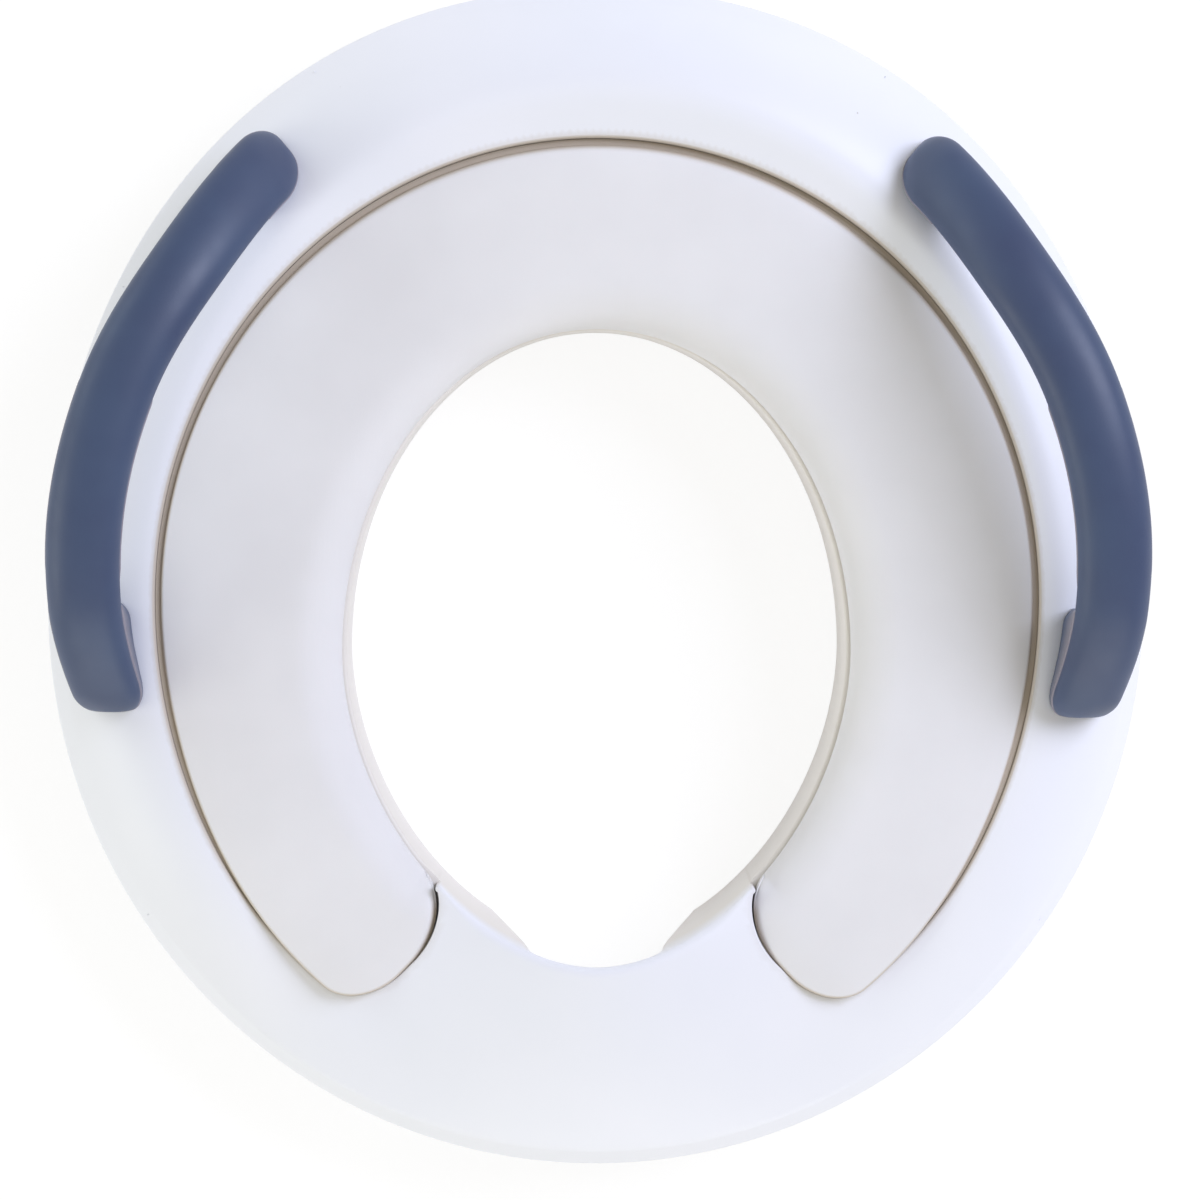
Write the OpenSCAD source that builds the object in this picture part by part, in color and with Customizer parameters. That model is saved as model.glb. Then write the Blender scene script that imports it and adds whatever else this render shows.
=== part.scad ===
// Toddler potty training seat. A one-piece moulded ring with a locating collar below and a
// splash guard in front carries a soft horseshoe pad in a tray, and an arched grab handle on
// each side. It lies flat, the back towards +Y, and rests on the foot of its collar.

/* [Seat ring] */
// Half of the width over the rim
rim_half_width = 171.3; // [168:0.1:176]
// Reach of the rim behind its widest row
rim_back_reach = 192.5; // [188:0.1:198]
// Reach of the rim in front of its widest row
rim_front_reach = 175.2; // [172:0.1:180]
// Width of the rounded edge that runs round the rim
rim_roll_width = 4.6; // [3:0.1:6]
// Height of the lower edge of the skirt above the foot of the collar
skirt_z = 28; // [22:0.5:30]
// Height of the top of the upright part of the skirt
skirt_top_z = 37.5; // [34:0.5:39]
// Height of the crease where the seat surface meets the rounded rim
crease_z = 42.5; // [41:0.5:46]
// Height of the shell beside the pad
edge_z = 56; // [54:0.5:60]
// Rise of the crest above the edge of the tray at the sides
crest_side_rise = 1; // [0.5:0.1:3]
// Further rise of the crest at the back
crest_back_rise = 6; // [3:0.5:9]
// Distance of the crest from the tray at the back
crest_back_gap = 16; // [12:0.5:20]
// Distance of the crest from the tray at the sides and in front
crest_side_gap = 4; // [3:0.5:5]
// Wall thickness of the moulding
wall = 2.4; // [2:0.1:3]

/* [Hole and collar] */
// Width of the tray between its outer edge and the hole at the sides
hole_side_margin = 58.7; // [57:0.1:61]
// Reach of the tray beyond the reach of the hole at the back
hole_back_margin = 42.4; // [40:0.1:45]
// Reach of the rim beyond the reach of the hole in front
hole_front_margin = 79; // [77:0.1:81]
// Width of the gap in the collar below the splash guard
relief_width = 41; // [34:0.5:46]
// Height of the gap in the collar
relief_height = 65; // [55:0.5:66]
// Radius of the collar's corners beside the gap
relief_foot_radius = 9; // [6:0.5:11]
// Radius in the upper corners of the gap
relief_top_radius = 6; // [3:0.5:8]

/* [Splash guard] */
// Height of the lip of the splash guard above the edge of the tray
guard_rise = 13; // [10:0.5:18]
// Half angle over which the splash guard rises
guard_half_angle = 50; // [44:1:56]

/* [Pad] */
// Height of the floor of the tray
tray_z = 44; // [42:0.5:46]
// Distance of the tray from the rim at the sides
tray_side_margin = 34.9; // [33.5:0.1:37]
// Reach of the rim beyond the reach of the tray at the back
tray_back_margin = 50.2; // [48:0.1:52]
// Reach of the rim beyond the reach of the tray in front, were the tray to run all round
tray_front_margin = 22.7; // [22:0.1:27]
// Angle between the front and each end of the tray
tray_end_angle = 32.5; // [31:0.5:35]
// Angle over which the outer corner of each tray end is rounded
tray_corner_angle = 5.5; // [4:0.5:7]
// Angle over which the inner corner of each tray end is rounded
tray_inner_angle = 11; // [9:0.5:12]
// Gap between the pad and the wall of the tray
pad_gap = 0.7; // [0.5:0.1:2]
// Gap between the pad and the floor of the tray
pad_float = 0.3; // [0.2:0.1:0.5]
// Height of the crown of the pad above its base
pad_thickness = 14.5; // [12:0.5:16]
// Height of the sharp lower part of the pad's inner edge
pad_lip = 1.6; // [1:0.1:3]
// Width of the roll at the inner edge of the pad
pad_inner_roll = 15; // [10:0.5:18]
// Width of the roll at the outer edge of the pad
pad_outer_roll = 6; // [4:0.5:8]
// Diameter of the pegs that hold the pad
peg_diameter = 6; // [5:0.5:7]
// Length of the pegs below the pad
peg_length = 7; // [5:0.5:9]
// Clearance round each peg
peg_clearance = 0.4; // [0.3:0.1:0.8]

/* [Handles] */
// Width of the handle bar
bar_width = 22.5; // [20:0.5:24]
// Thickness of the handle bar at the middle of its arch
bar_thickness = 16; // [13:0.5:18]
// Distance of the bar's middle from the rim at the top of its arch
bar_inset = 17.3; // [16.5:0.1:18]
// Height of the top of the arch
arch_top_z = 108; // [101:0.5:115]
// Height of the top of the bar at its ends
arch_end_z = 68; // [66:0.5:72]
// Sharpness of the arch
arch_power = 2.3; // [2:0.1:3]
// Angle on the rim's outline where the back foot begins
back_foot_angle = 127.6; // [126.6:0.5:130.1]
// Angle on the rim's outline where the front foot ends
front_foot_angle = 192; // [190:0.5:194]
// Length of the back foot along the bar
back_foot_length = 20; // [18:0.5:24]
// Length of the front foot along the bar
front_foot_length = 33; // [30:0.5:35]
// Radius of the fillet between the back foot and the bar
back_foot_fillet = 18; // [12:0.5:20]
// Radius of the fillet between the front foot and the bar
front_foot_fillet = 9; // [6:0.5:12]
// Gap between each foot and the shell
foot_gap = 0.3; // [0.2:0.05:0.4]

/* [Fixings] */
// Diameter of the screw shank
screw_diameter = 3.5; // [3:0.1:4.5]
// Length of the screw below its head
screw_length = 20; // [18:0.5:24]
// Diameter of the screw head
screw_head_diameter = 7; // [6:0.1:8.5]
// Height of the screw head
screw_head_height = 2.4; // [2:0.1:3]
// Clearance round the screw shank
screw_clearance = 0.2; // [0.1:0.05:0.3]
// Diameter of the screw boss under the shell
boss_diameter = 10.5; // [9:0.5:12]
// Length of the screw boss under the shell
boss_length = 10; // [8:0.5:12]

/* [Underside] */
// Thickness of the ribs
rib_thickness = 1.8; // [1.4:0.1:2.4]
// Height of the lower edge of the ribs above the skirt's edge
rib_lift = 3; // [2.5:0.1:4]
// Length of each grip pad
grip_length = 30; // [24:0.5:36]
// Width of each grip pad
grip_width = 10; // [8:0.5:14]
// Height of each grip pad
grip_height = 8; // [6.5:0.1:9]
// Drop of the grip pads below the skirt's edge
grip_drop = 1.2; // [0.8:0.1:2]
// Clearance of the slot in each grip pad
grip_clearance = 0.15; // [0.1:0.05:0.3]

/* [Hidden] */

shell_colour = [0.93, 0.94, 0.97];
pad_colour = [0.87, 0.87, 0.89];
handle_colour = [0.32, 0.37, 0.50];
screw_colour = [0.75, 0.76, 0.78];
grip_colour = [0.55, 0.57, 0.60];

// The outlines are rings: half width, reach behind, reach in front, Y of the widest row, and
// the powers of the two halves, 2 for an ellipse and more for a fuller curve
ellipse_power = 2;
rim_back_power = 2.13;
hole_front_power = 1.84;
hole_row_shift = 13.85;
tray_row_shift = 2.55;
rim_row_y = (rim_front_reach - rim_back_reach) / 2;
hole_row_y = rim_row_y - hole_row_shift;
tray_row_y = rim_row_y + tray_row_shift;
tray_half_width = rim_half_width - tray_side_margin;
tray_back_reach = rim_back_reach - tray_back_margin;
tray_front_reach = rim_front_reach - tray_front_margin;
hole_half_width = tray_half_width - hole_side_margin;
hole_back_reach = tray_back_reach - hole_back_margin;
hole_front_reach = rim_front_reach - hole_front_margin;
rim_ring = [rim_half_width, rim_back_reach, rim_front_reach, rim_row_y, rim_back_power, ellipse_power];
hole_ring = [hole_half_width, hole_back_reach, hole_front_reach, hole_row_y,
             ellipse_power, hole_front_power];
tray_ring = [tray_half_width, tray_back_reach, tray_front_reach, tray_row_y, ellipse_power, ellipse_power];
crest_ring = [tray_half_width + crest_side_gap, tray_back_reach + crest_back_gap,
              tray_front_reach + crest_side_gap, tray_row_y, ellipse_power, ellipse_power];
crease_ring = grown(rim_ring, -rim_roll_width);
front = 270;
full_turn = 360;
round_sides = 48;
small_sides = 32;

function grown(ring, d) = [ring[0] + d, ring[1] + d, ring[2] + d, ring[3], ring[4], ring[5]];
function mix(a, b, f) = a * (1 - f) + b * f;
function clamp(f) = min(1, max(0, f));
function smooth(f) = let (c = clamp(f)) c * c * (3 - 2 * c);
function quarter(f) = sqrt(1 - pow(1 - clamp(f), 2));

// Point of a ring at the angle t
function ring_point(ring, t) =
    let (c = cos(t),
         s = sin(t),
         reach = s >= 0 ? ring[1] : ring[2],
         power = 2 / (s >= 0 ? ring[4] : ring[5]))
    [ring[0] * sign(c) * pow(abs(c), power), ring[3] + reach * sign(s) * pow(abs(s), power)];

// Angle between t and the front
function from_front(t) = let (d = abs(t - front)) min(d, full_turn - d);

// Plan position: v is 0 at the hole, 1 at the tray's edge, 2 at the crest, 3 at the crease
function plan(v, t) =
    v <= 1 ? mix(ring_point(hole_ring, t), ring_point(tray_ring, t), v)
    : v <= 2 ? mix(ring_point(tray_ring, t), ring_point(crest_ring, t), v - 1)
    : mix(ring_point(crest_ring, t), ring_point(crease_ring, t), v - 2);

// Height of the crest above the foot of the collar
swell_power = 1.5;
function crest_z(t) = edge_z + crest_side_rise + crest_back_rise * pow(max(0, sin(t)), swell_power);

// Height of the lip at the hole, were there no tray
function lip_z(t) =
    edge_z + guard_rise * pow(cos(90 * min(1, from_front(t) / guard_half_angle)), swell_power);

// Height of the seat surface beside the pad
outer_fall_power = 1.7;
function seat_z(v, t) =
    v <= 1 ? edge_z
    : v <= 2 ? mix(edge_z, crest_z(t), smooth(v - 1))
    : mix(crest_z(t), crease_z, pow(v - 2, outer_fall_power));

// Height of the splash guard's slope
guard_straight_share = 0.6;
function guard_z(v, t) =
    let (start = ring_point(hole_ring, t),
         run = norm(plan(v, t) - start) / norm(ring_point(crease_ring, t) - start))
    mix(lip_z(t), crease_z, run * mix(run, 1, guard_straight_share));

// Height of the whole upper surface, where the guard eases into the seat past this angle
guard_ease_start = 24;
guard_ease_angle = 40;
function surface_z(v, t) =
    mix(guard_z(v, t), seat_z(v, t), smooth((from_front(t) - guard_ease_start) / guard_ease_angle));

// Finds [v, t] of a plan point between the tray and the rim, closing in over a few rounds
surface_centre = [0, rim_row_y];
locate_rounds = 5;
function polar(p) = let (d = p - surface_centre) [norm(d), atan2(d[1], d[0])];
function turn_of(a) = a < 0 ? a + full_turn : a >= full_turn ? a - full_turn : a;
function reach_at(p, t) =
    let (r = polar(p)[0],
         tray = polar(plan(1, t))[0],
         crest = polar(plan(2, t))[0],
         crease = polar(plan(3, t))[0])
    r < crest ? 1 + clamp((r - tray) / (crest - tray)) : 2 + clamp((r - crest) / (crease - crest));
function locate(p, t, rounds) =
    let (v = reach_at(p, t))
    rounds == 0 ? [v, t]
    : locate(p, turn_of(t + polar(p)[1] - polar(plan(v, t))[1]), rounds - 1);
function height_at(p) =
    let (found = locate(p, turn_of(polar(p)[1]), locate_rounds))
    surface_z(found[0], found[1]);

// Shares of the tray's width at which its floor ends and, beside the hole, begins, for an angle
// past the tray's end: both corners of the end are rounded, and land is left beside the hole
outer_end_share = 0.62;
inner_end_share = 0.5;
function tray_share(past) = mix(outer_end_share, 1, quarter(past / tray_corner_angle));
function land_share(past) = mix(inner_end_share, 0, quarter(past / tray_inner_angle));

// Angles of the sections round the ring: closer together where the tray ends
wall_angle = 1.5;
step_angle = 0.5;
guard_steps = 6;
corner_steps = 9;
side_steps = 31;
corner_spacing = 1.6;
half_stations = concat(
    [for (k = [0:guard_steps - 1]) k * (tray_end_angle - wall_angle - step_angle) / (guard_steps - 1)],
    [tray_end_angle - wall_angle, tray_end_angle - step_angle],
    [for (k = [0:corner_steps - 1])
        tray_end_angle + tray_inner_angle * pow(k / corner_steps, corner_spacing)],
    [for (k = [0:side_steps])
        mix(tray_end_angle + tray_inner_angle, full_turn / 2, k / side_steps)]);
station_count = len(half_stations);
stations = concat(
    [for (a = half_stations) turn_of(front + a)],
    [for (k = [station_count - 2:-1:1]) turn_of(front - half_stations[k])]);

// Turns a distance outward from the hole into v
function tray_width(t) = norm(plan(1, t) - plan(0, t));
function crest_gap(t) = norm(plan(2, t) - plan(1, t));
function v_at(distance, t) =
    let (width = tray_width(t))
    distance <= width ? distance / width : 1 + (distance - width) / crest_gap(t);

function reversed(list) = [for (k = [len(list) - 1:-1:0]) list[k]];

// One section of the shell: over the top from the collar to the skirt, and back underneath
tray_lip_round = 1;
guard_lip_round = 3;
tray_edge_draft = 0.4;
tray_edge_round = 1.2;
under_drop = 1.15 * wall;
under_reach = 0.97;
rim_shoulder_inset = 0.3 * rim_roll_width;
rim_shoulder_share = 0.62;
skirt_draft = 0.2;
lip_chamfer = 0.3;
fall_steps = 4;
function above(v, t, drop) = let (p = plan(v, t)) [p[0], p[1], surface_z(v, t) - drop];
function at_level(p, z) = [p[0], p[1], z];
land_least = 2.6;
middle_shares = [0.3, 0.55, 0.8];

// The points of a section between the hole and the far end of the tray's floor, in three forms:
// across the guard, across the land beside the hole and down to the floor, or across the floor
function middle_points(t, first, land, last, open, floor_z, drop) =
    open && land > first + land_least ?
        [above(v_at(land - tray_edge_draft, t), t, drop),
         at_level(plan(v_at(land, t), t), floor_z),
         at_level(plan(v_at(mix(land, last, middle_shares[0]), t), t), floor_z)]
    : [for (f = middle_shares)
        let (v = v_at(mix(first, last, f), t))
        open ? at_level(plan(v, t), floor_z) : above(v, t, drop)];

function shell_section(t) =
    let (past = from_front(t) - tray_end_angle,
         open = past >= 0,
         width = tray_width(t),
         floor_end = width * tray_share(past),
         land = width * land_share(past),
         under_past = past + wall_angle,
         under_open = under_past >= 0,
         under_end = width * tray_share(under_past) + wall,
         under_land = width * land_share(under_past) - wall,
         shoulder = v_at(floor_end + tray_edge_round, t),
         landed = open && land > guard_lip_round + land_least,
         under_landed = under_open && under_land > wall + land_least,
         round = open && !landed ? tray_lip_round : guard_lip_round,
         lip = v_at(round, t),
         top = open && !landed ? tray_z : surface_z(lip, t),
         hole = ring_point(hole_ring, t),
         behind = ring_point(grown(hole_ring, wall), t),
         under_z = under_open && !under_landed ? tray_z - wall
                   : surface_z(v_at(wall, t), t) - under_drop,
         skirt = ring_point(rim_ring, t),
         inner_skirt = ring_point(grown(rim_ring, -wall), t))
    concat(
        [at_level(hole, 0),
         at_level(hole, top - round),
         at_level(plan(lip_chamfer * lip, t), top - lip_chamfer * round),
         at_level(plan(lip, t), top)],
        middle_points(t, round, landed ? land : 0, floor_end, open, tray_z, 0),
        [at_level(plan(v_at(floor_end, t), t), open ? tray_z : surface_z(v_at(floor_end, t), t)),
         above(v_at(floor_end + tray_edge_draft, t), t, tray_edge_draft),
         above(shoulder, t, 0),
         above(mix(shoulder, 2, 0.5), t, 0)],
        [for (k = [0:fall_steps]) above(2 + k / fall_steps, t, 0)],
        [at_level(ring_point(grown(rim_ring, -rim_shoulder_inset), t),
                  mix(skirt_top_z, crease_z, rim_shoulder_share)),
         at_level(skirt, skirt_top_z),
         at_level(ring_point(grown(rim_ring, -skirt_draft), t), skirt_z),
         at_level(inner_skirt, skirt_z),
         at_level(inner_skirt, skirt_top_z - wall / 2)],
        [for (k = [fall_steps:-1:0]) above(2 + under_reach * k / fall_steps, t, under_drop)],
        [above(v_at(under_end + tray_edge_draft, t), t, under_drop),
         under_open ? at_level(plan(v_at(under_end, t), t), tray_z - wall)
                    : above(v_at(under_end, t), t, under_drop)],
        reversed(middle_points(t, wall, under_landed ? under_land : 0, under_end, under_open,
                               tray_z - wall, under_drop)),
        [at_level(behind, under_z),
         at_level(behind, 0)]);

// Closed skin over rings of points, every ring with as many points; looped joins the last
// ring to the first, and otherwise the two end rings are closed
module lofted(rings, looped) {
    count = len(rings);
    around = len(rings[0]);
    points = [for (ring = rings) for (p = ring) p];
    spans = looped ? count : count - 1;
    sides = [for (i = [0:spans - 1]) for (j = [0:around - 1])
        let (a = i * around + j,
             b = i * around + (j + 1) % around,
             c = ((i + 1) % count) * around + (j + 1) % around,
             d = ((i + 1) % count) * around + j)
        each [[a, c, b], [a, d, c]]];
    ends = looped ? [] : [
        [for (j = [0:around - 1]) j],
        [for (j = [around - 1:-1:0]) (count - 1) * around + j]];
    polyhedron(points = points, faces = concat(sides, ends), convexity = 10);
}

// Gap in the collar, open below, with rounded corners: it reaches from the hole through the
// collar and stops short of the slope of the splash guard
relief_margin = 1.2;
relief_start = hole_row_y - hole_front_reach - wall - relief_margin;
relief_depth = 30;
module collar_relief() {
    half = relief_width / 2;
    below = 1;
    translate([0, relief_start + relief_depth, 0])
        rotate([90, 0, 0])
        linear_extrude(height = relief_depth)
        difference() {
            union() {
                translate([-half, -below])
                    square([relief_width, relief_height + below - relief_top_radius]);
                translate([relief_top_radius - half, 0])
                    square([relief_width - 2 * relief_top_radius, relief_height]);
                for (side = [-1, 1])
                    translate([side * (half - relief_top_radius), relief_height - relief_top_radius])
                        circle(r = relief_top_radius, $fn = round_sides);
                translate([-half - relief_foot_radius, -below])
                    square([relief_width + 2 * relief_foot_radius, relief_foot_radius + below]);
            }
            for (side = [-1, 1])
                translate([side * (half + relief_foot_radius), relief_foot_radius])
                    circle(r = relief_foot_radius, $fn = round_sides);
        }
}

// Path of the left bar inside the rim: further inset at even steps from the back to the front
bar_span = front_foot_angle - back_foot_angle;
bar_length_per_degree = PI * (rim_half_width - bar_inset) / 180;
bar_sample_angle = 0.5;
inset_changes = [1, 3.6, 0, -1.7, 2.3];
inset_last = len(inset_changes) - 1;
inset_knots = concat(
    [2 * inset_changes[0] - inset_changes[1]], inset_changes,
    [2 * inset_changes[inset_last] - inset_changes[inset_last - 1]]);
function angle_at(distance) = distance / bar_length_per_degree;
function curve_through(a, b, c, d, f) =
    (2 * b + (c - a) * f + (2 * a - 5 * b + 4 * c - d) * f * f + (3 * b - a - 3 * c + d) * f * f * f) / 2;
function inset_at(t) =
    let (place = clamp((t - back_foot_angle) / bar_span) * inset_last,
         k = min(floor(place), inset_last - 1))
    bar_inset + curve_through(inset_knots[k], inset_knots[k + 1], inset_knots[k + 2],
                              inset_knots[k + 3], place - k);
function rim_normal(t) =
    let (ahead = ring_point(rim_ring, t + bar_sample_angle) - ring_point(rim_ring, t - bar_sample_angle))
    [ahead[1], -ahead[0]] / norm(ahead);
function bar_point(t) = ring_point(rim_ring, t) - rim_normal(t) * inset_at(t);

// Places where the screws pass up through the shell into the feet of the left handle
foot_middles = [bar_point(back_foot_angle + angle_at(back_foot_length / 2)),
                bar_point(front_foot_angle - angle_at(front_foot_length / 2))];
foot_places = [for (side = [-1, 1]) for (p = foot_middles) [side * abs(p[0]), p[1]]];

// Slope of the surface at a plan point, as the tilts about X and Y
slope_step = 2;
function tilt_at(p) =
    let (h = slope_step,
         rise_x = height_at(p + [h, 0]) - height_at(p - [h, 0]),
         rise_y = height_at(p + [0, h]) - height_at(p - [0, h]))
    [atan(rise_y / (2 * h)), -atan(rise_x / (2 * h))];

// Bosses and ribs end in the wall, this far below its upper face
wall_middle = 0.6 * wall;

// Screw boss that hangs from the middle of the wall
module screw_boss(p) {
    z = height_at(p);
    tilt = tilt_at(p);
    cut = 4 * boss_diameter;
    intersection() {
        translate([p[0], p[1], z - boss_length - wall])
            cylinder(d = boss_diameter, h = boss_length + wall + boss_diameter, $fn = round_sides);
        translate([p[0], p[1], z - wall_middle])
            rotate([tilt[0], tilt[1], 0])
            translate([-cut / 2, -cut / 2, -cut])
            cube(cut);
    }
}

// Ribs from the collar to the skirt, each a plate under the middle of the wall
rib_angles = [0, 30, 60, 90, 120, 150, 180, 214, 326];
rib_samples = 10;
module rib(t) {
    start = ring_point(grown(hole_ring, wall / 2), t);
    end = ring_point(grown(rim_ring, -wall / 2), t);
    tray_end = ring_point(grown(tray_ring, wall_middle), t);
    run = norm(end - start);
    step = norm(tray_end - start);
    way = (end - start) / run;
    low = skirt_z + rib_lift;
    tops = [for (k = [0:rib_samples])
        let (x = mix(step + wall, run - rim_roll_width, k / rib_samples))
        [x, height_at(start + way * x) - wall_middle]];
    translate([start[0], start[1], 0])
        rotate([0, 0, atan2(way[1], way[0])])
        rotate([90, 0, 0])
        translate([0, 0, -rib_thickness / 2])
        linear_extrude(height = rib_thickness)
        polygon(concat(
            [[0, low], [0, tray_z - wall / 2], [step, tray_z - wall / 2]],
            tops,
            [[run, skirt_top_z - wall / 2], [run, low]]));
}

peg_angles = [15, 45, 75, 105, 135, 165, 222, 318];
peg_share = 0.5;

module seat_shell() color(shell_colour) {
    difference() {
        union() {
            lofted([for (t = stations) shell_section(t)], true);
            for (t = rib_angles)
                rib(t);
            for (p = foot_places)
                screw_boss(p);
        }
        collar_relief();
        for (t = peg_angles)
            translate(at_level(plan(peg_share, t), tray_z - 2 * wall))
                cylinder(d = peg_diameter + 2 * peg_clearance, h = 4 * wall, $fn = small_sides);
        for (p = foot_places)
            translate([p[0], p[1], height_at(p) - 2 * boss_length])
                cylinder(d = screw_diameter + 2 * screw_clearance, h = 3 * boss_length, $fn = small_sides);
    }
}

// Section of the pad: share runs from its inner to its outer edge
pad_base_z = tray_z + pad_float;
pad_hole_margin = 0.4;
pad_outer_ring = grown(tray_ring, -pad_gap);
pad_inner_ring = grown(hole_ring, pad_hole_margin);
pad_inner_steps = 6;
pad_outer_steps = 5;
pad_crown_steps = 3;
pad_end_gap = 0.9;
pad_end_angle = tray_end_angle + pad_end_gap;
pad_end_start = 0.3;
pad_end_roll = 7;
pad_end_fullness = 0.45;
pad_roll_share = 0.45;
pad_crown = 1.6;
pad_shoulder = 0.45;
function pad_section(t) =
    let (past_end = from_front(t) - pad_end_angle,
         outer = tray_share(past_end),
         inner = land_share(past_end),
         near = ring_point(pad_inner_ring, t),
         far = ring_point(pad_outer_ring, t),
         start = mix(near, far, inner),
         end = mix(near, far, outer),
         width = norm(end - start),
         inner_roll = min(pad_inner_roll, pad_roll_share * width),
         outer_roll = min(pad_outer_roll, pad_roll_share * width),
         full = (pad_thickness - pad_lip) * mix(pad_end_fullness, 1, quarter(past_end / pad_end_roll)),
         low = pad_base_z + pad_lip)
    concat(
        [at_level(start, pad_base_z)],
        [for (k = [0:pad_inner_steps])
            let (f = 1 - cos(90 * k / pad_inner_steps),
                 rise = sin(90 * k / pad_inner_steps))
            at_level(mix(start, end, f * inner_roll / width), low + (full - pad_crown) * rise)],
        [for (k = [1:pad_crown_steps])
            let (f = k / (pad_crown_steps + 1))
            at_level(mix(start, end, mix(inner_roll, width - outer_roll, f) / width),
                     low + full - pad_crown + pad_crown * sin(180 * f))],
        [for (k = [0:pad_outer_steps])
            let (f = sin(90 * k / pad_outer_steps),
                 drop = 1 - cos(90 * k / pad_outer_steps))
            at_level(mix(start, end, 1 - outer_roll * (1 - f) / width),
                     low + full - pad_crown - pad_shoulder * full * drop)],
        [at_level(end, pad_base_z)]);

pad_side_steps = side_steps - 3;
pad_half_stations = concat(
    [for (k = [0:corner_steps - 1])
        pad_end_angle + mix(pad_end_start, tray_inner_angle, pow(k / corner_steps, corner_spacing))],
    [for (k = [0:pad_side_steps])
        mix(pad_end_angle + tray_inner_angle, full_turn / 2, k / pad_side_steps)]);
pad_stations = concat(
    [for (a = pad_half_stations) turn_of(front + a)],
    [for (k = [len(pad_half_stations) - 2:-1:0]) turn_of(front - pad_half_stations[k])]);

module seat_pad() color(pad_colour) {
    lofted([for (t = pad_stations) pad_section(t)], false);
    for (t = peg_angles)
        translate(at_level(plan(peg_share, t), pad_base_z - peg_length))
            cylinder(d = peg_diameter, h = peg_length + 1, $fn = small_sides);
}

// The bar: its top follows an arch from foot to foot, its lower side drops to the feet
function bar_place(t) = 2 * (t - back_foot_angle) / bar_span - 1;
function arch_z(t) = mix(arch_end_z, arch_top_z, 1 - pow(abs(bar_place(t)), arch_power));
back_end_round = 9;
front_end_round = 6.5;
bar_end_drop = 5;
bar_end_share = 0.42;
foot_edge = 0.2;
back_foot_round = 12;
front_foot_round = 5;
foot_end_share = 0.1;
bar_steps = 18;
foot_steps = 5;
round_count = 4;
fillet_count = 4;
arch_steps = 9;
function from_end(t) = min(t - back_foot_angle, front_foot_angle - t) * bar_length_per_degree;
function by_foot(t, back, front) = bar_place(t) < 0 ? back : front;
function foot_length(t) = by_foot(t, back_foot_length, front_foot_length);
function foot_fillet(t) = by_foot(t, back_foot_fillet, front_foot_fillet);
function end_round(t) = by_foot(t, back_end_round, front_end_round);
function lower_z(t) =
    let (fillet = foot_fillet(t),
         into = foot_length(t) + fillet - from_end(t),
         top = arch_z(t) - bar_thickness)
    into <= 0 ? top
    : into > fillet ? 0
    : top - fillet * (1 - sqrt(1 - pow(into / fillet, 2)));

// Share of the lower half's width at its foot, which rounds the inner end of each foot
function foot_share(t) =
    let (inside = foot_length(t) - from_end(t),
         full = by_foot(t, back_foot_round, front_foot_round))
    mix(foot_end_share, 1, inside > 0 ? quarter(inside / full) : smooth(-inside / foot_fillet(t)));

// Direction across the bar, turned towards the width of the seat at the front foot
bar_turn_start = 0.35;
function bar_turned(t) = smooth((bar_place(t) - bar_turn_start) / (1 - bar_turn_start));
function bar_across(t) =
    let (across = mix(rim_normal(t), [-1, 0], bar_turned(t)))
    across / norm(across);

// Half width of the bar: c is 1 on its outer side, and the turned end is slanted to that side
front_width_share = 0.95;
end_slant = 0.35;
function bar_half(t, c) =
    let (round = end_round(t) * (1 - end_slant * c * bar_turned(t)))
    bar_width / 2 * mix(1, front_width_share, bar_turned(t))
        * mix(bar_end_share, 1, quarter(from_end(t) / round));

// Section of the left bar, a rounded rectangle whose lower points lie on the shell
bar_power = 0.62;
function bar_section(t) =
    let (mid = bar_point(t),
         out = bar_across(t),
         drop = bar_end_drop * (1 - quarter(from_end(t) / end_round(t))),
         waist = arch_z(t) - drop - bar_thickness / 2,
         low = lower_z(t),
         share = foot_share(t))
    [for (k = [0:bar_steps - 1])
        let (a = full_turn * (k + 0.5) / bar_steps,
             c = sign(cos(a)) * pow(abs(cos(a)), bar_power),
             s = sign(sin(a)) * pow(abs(sin(a)), bar_power),
             p = mid + out * c * bar_half(t, c) * mix(1, share, clamp(-s)),
             z = waist + s * (s > 0 ? bar_thickness / 2 : waist - low))
        at_level(p, max(z, height_at(p) + foot_gap))];

function bar_distances(end, length, round, fillet) =
    let (end_steps = [for (k = [0:foot_steps]) end * (1 - cos(90 * k / foot_steps))],
         round_steps = [for (k = [round_count - 1:-1:0])
             length - foot_edge - (round - foot_edge) * (1 - cos(90 * k / round_count))],
         fillet_steps = [for (k = [0:fillet_count]) length + fillet * (1 - cos(90 * k / fillet_count))],
         gap = length - round - end)
    concat(end_steps, gap > foot_edge ? [length - round] : [],
           [for (d = round_steps) if (d > end + foot_edge) d], fillet_steps);
back_distances = bar_distances(back_end_round, back_foot_length, back_foot_round, back_foot_fillet);
front_distances = bar_distances(front_end_round, front_foot_length, front_foot_round, front_foot_fillet);
arch_start = back_foot_angle + angle_at(back_foot_length + back_foot_fillet);
arch_end = front_foot_angle - angle_at(front_foot_length + front_foot_fillet);
bar_stations = concat(
    [for (d = back_distances) back_foot_angle + angle_at(d)],
    [for (k = [1:arch_steps - 1]) mix(arch_start, arch_end, k / arch_steps)],
    [for (d = reversed(front_distances)) front_foot_angle - angle_at(d)]);

// Pilot hole in a foot for its screw
pilot_room = 2;
pilot_depth = screw_length - boss_length + pilot_room;
module handle() {
    difference() {
        lofted([for (t = bar_stations) bar_section(t)], false);
        for (p = foot_middles)
            translate([p[0], p[1], height_at(p) - wall])
                cylinder(d = screw_diameter + 2 * screw_clearance, h = pilot_depth, $fn = small_sides);
    }
}
module left_handle() color(handle_colour) handle();
module right_handle() color(handle_colour) mirror([1, 0, 0]) handle();

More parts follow.
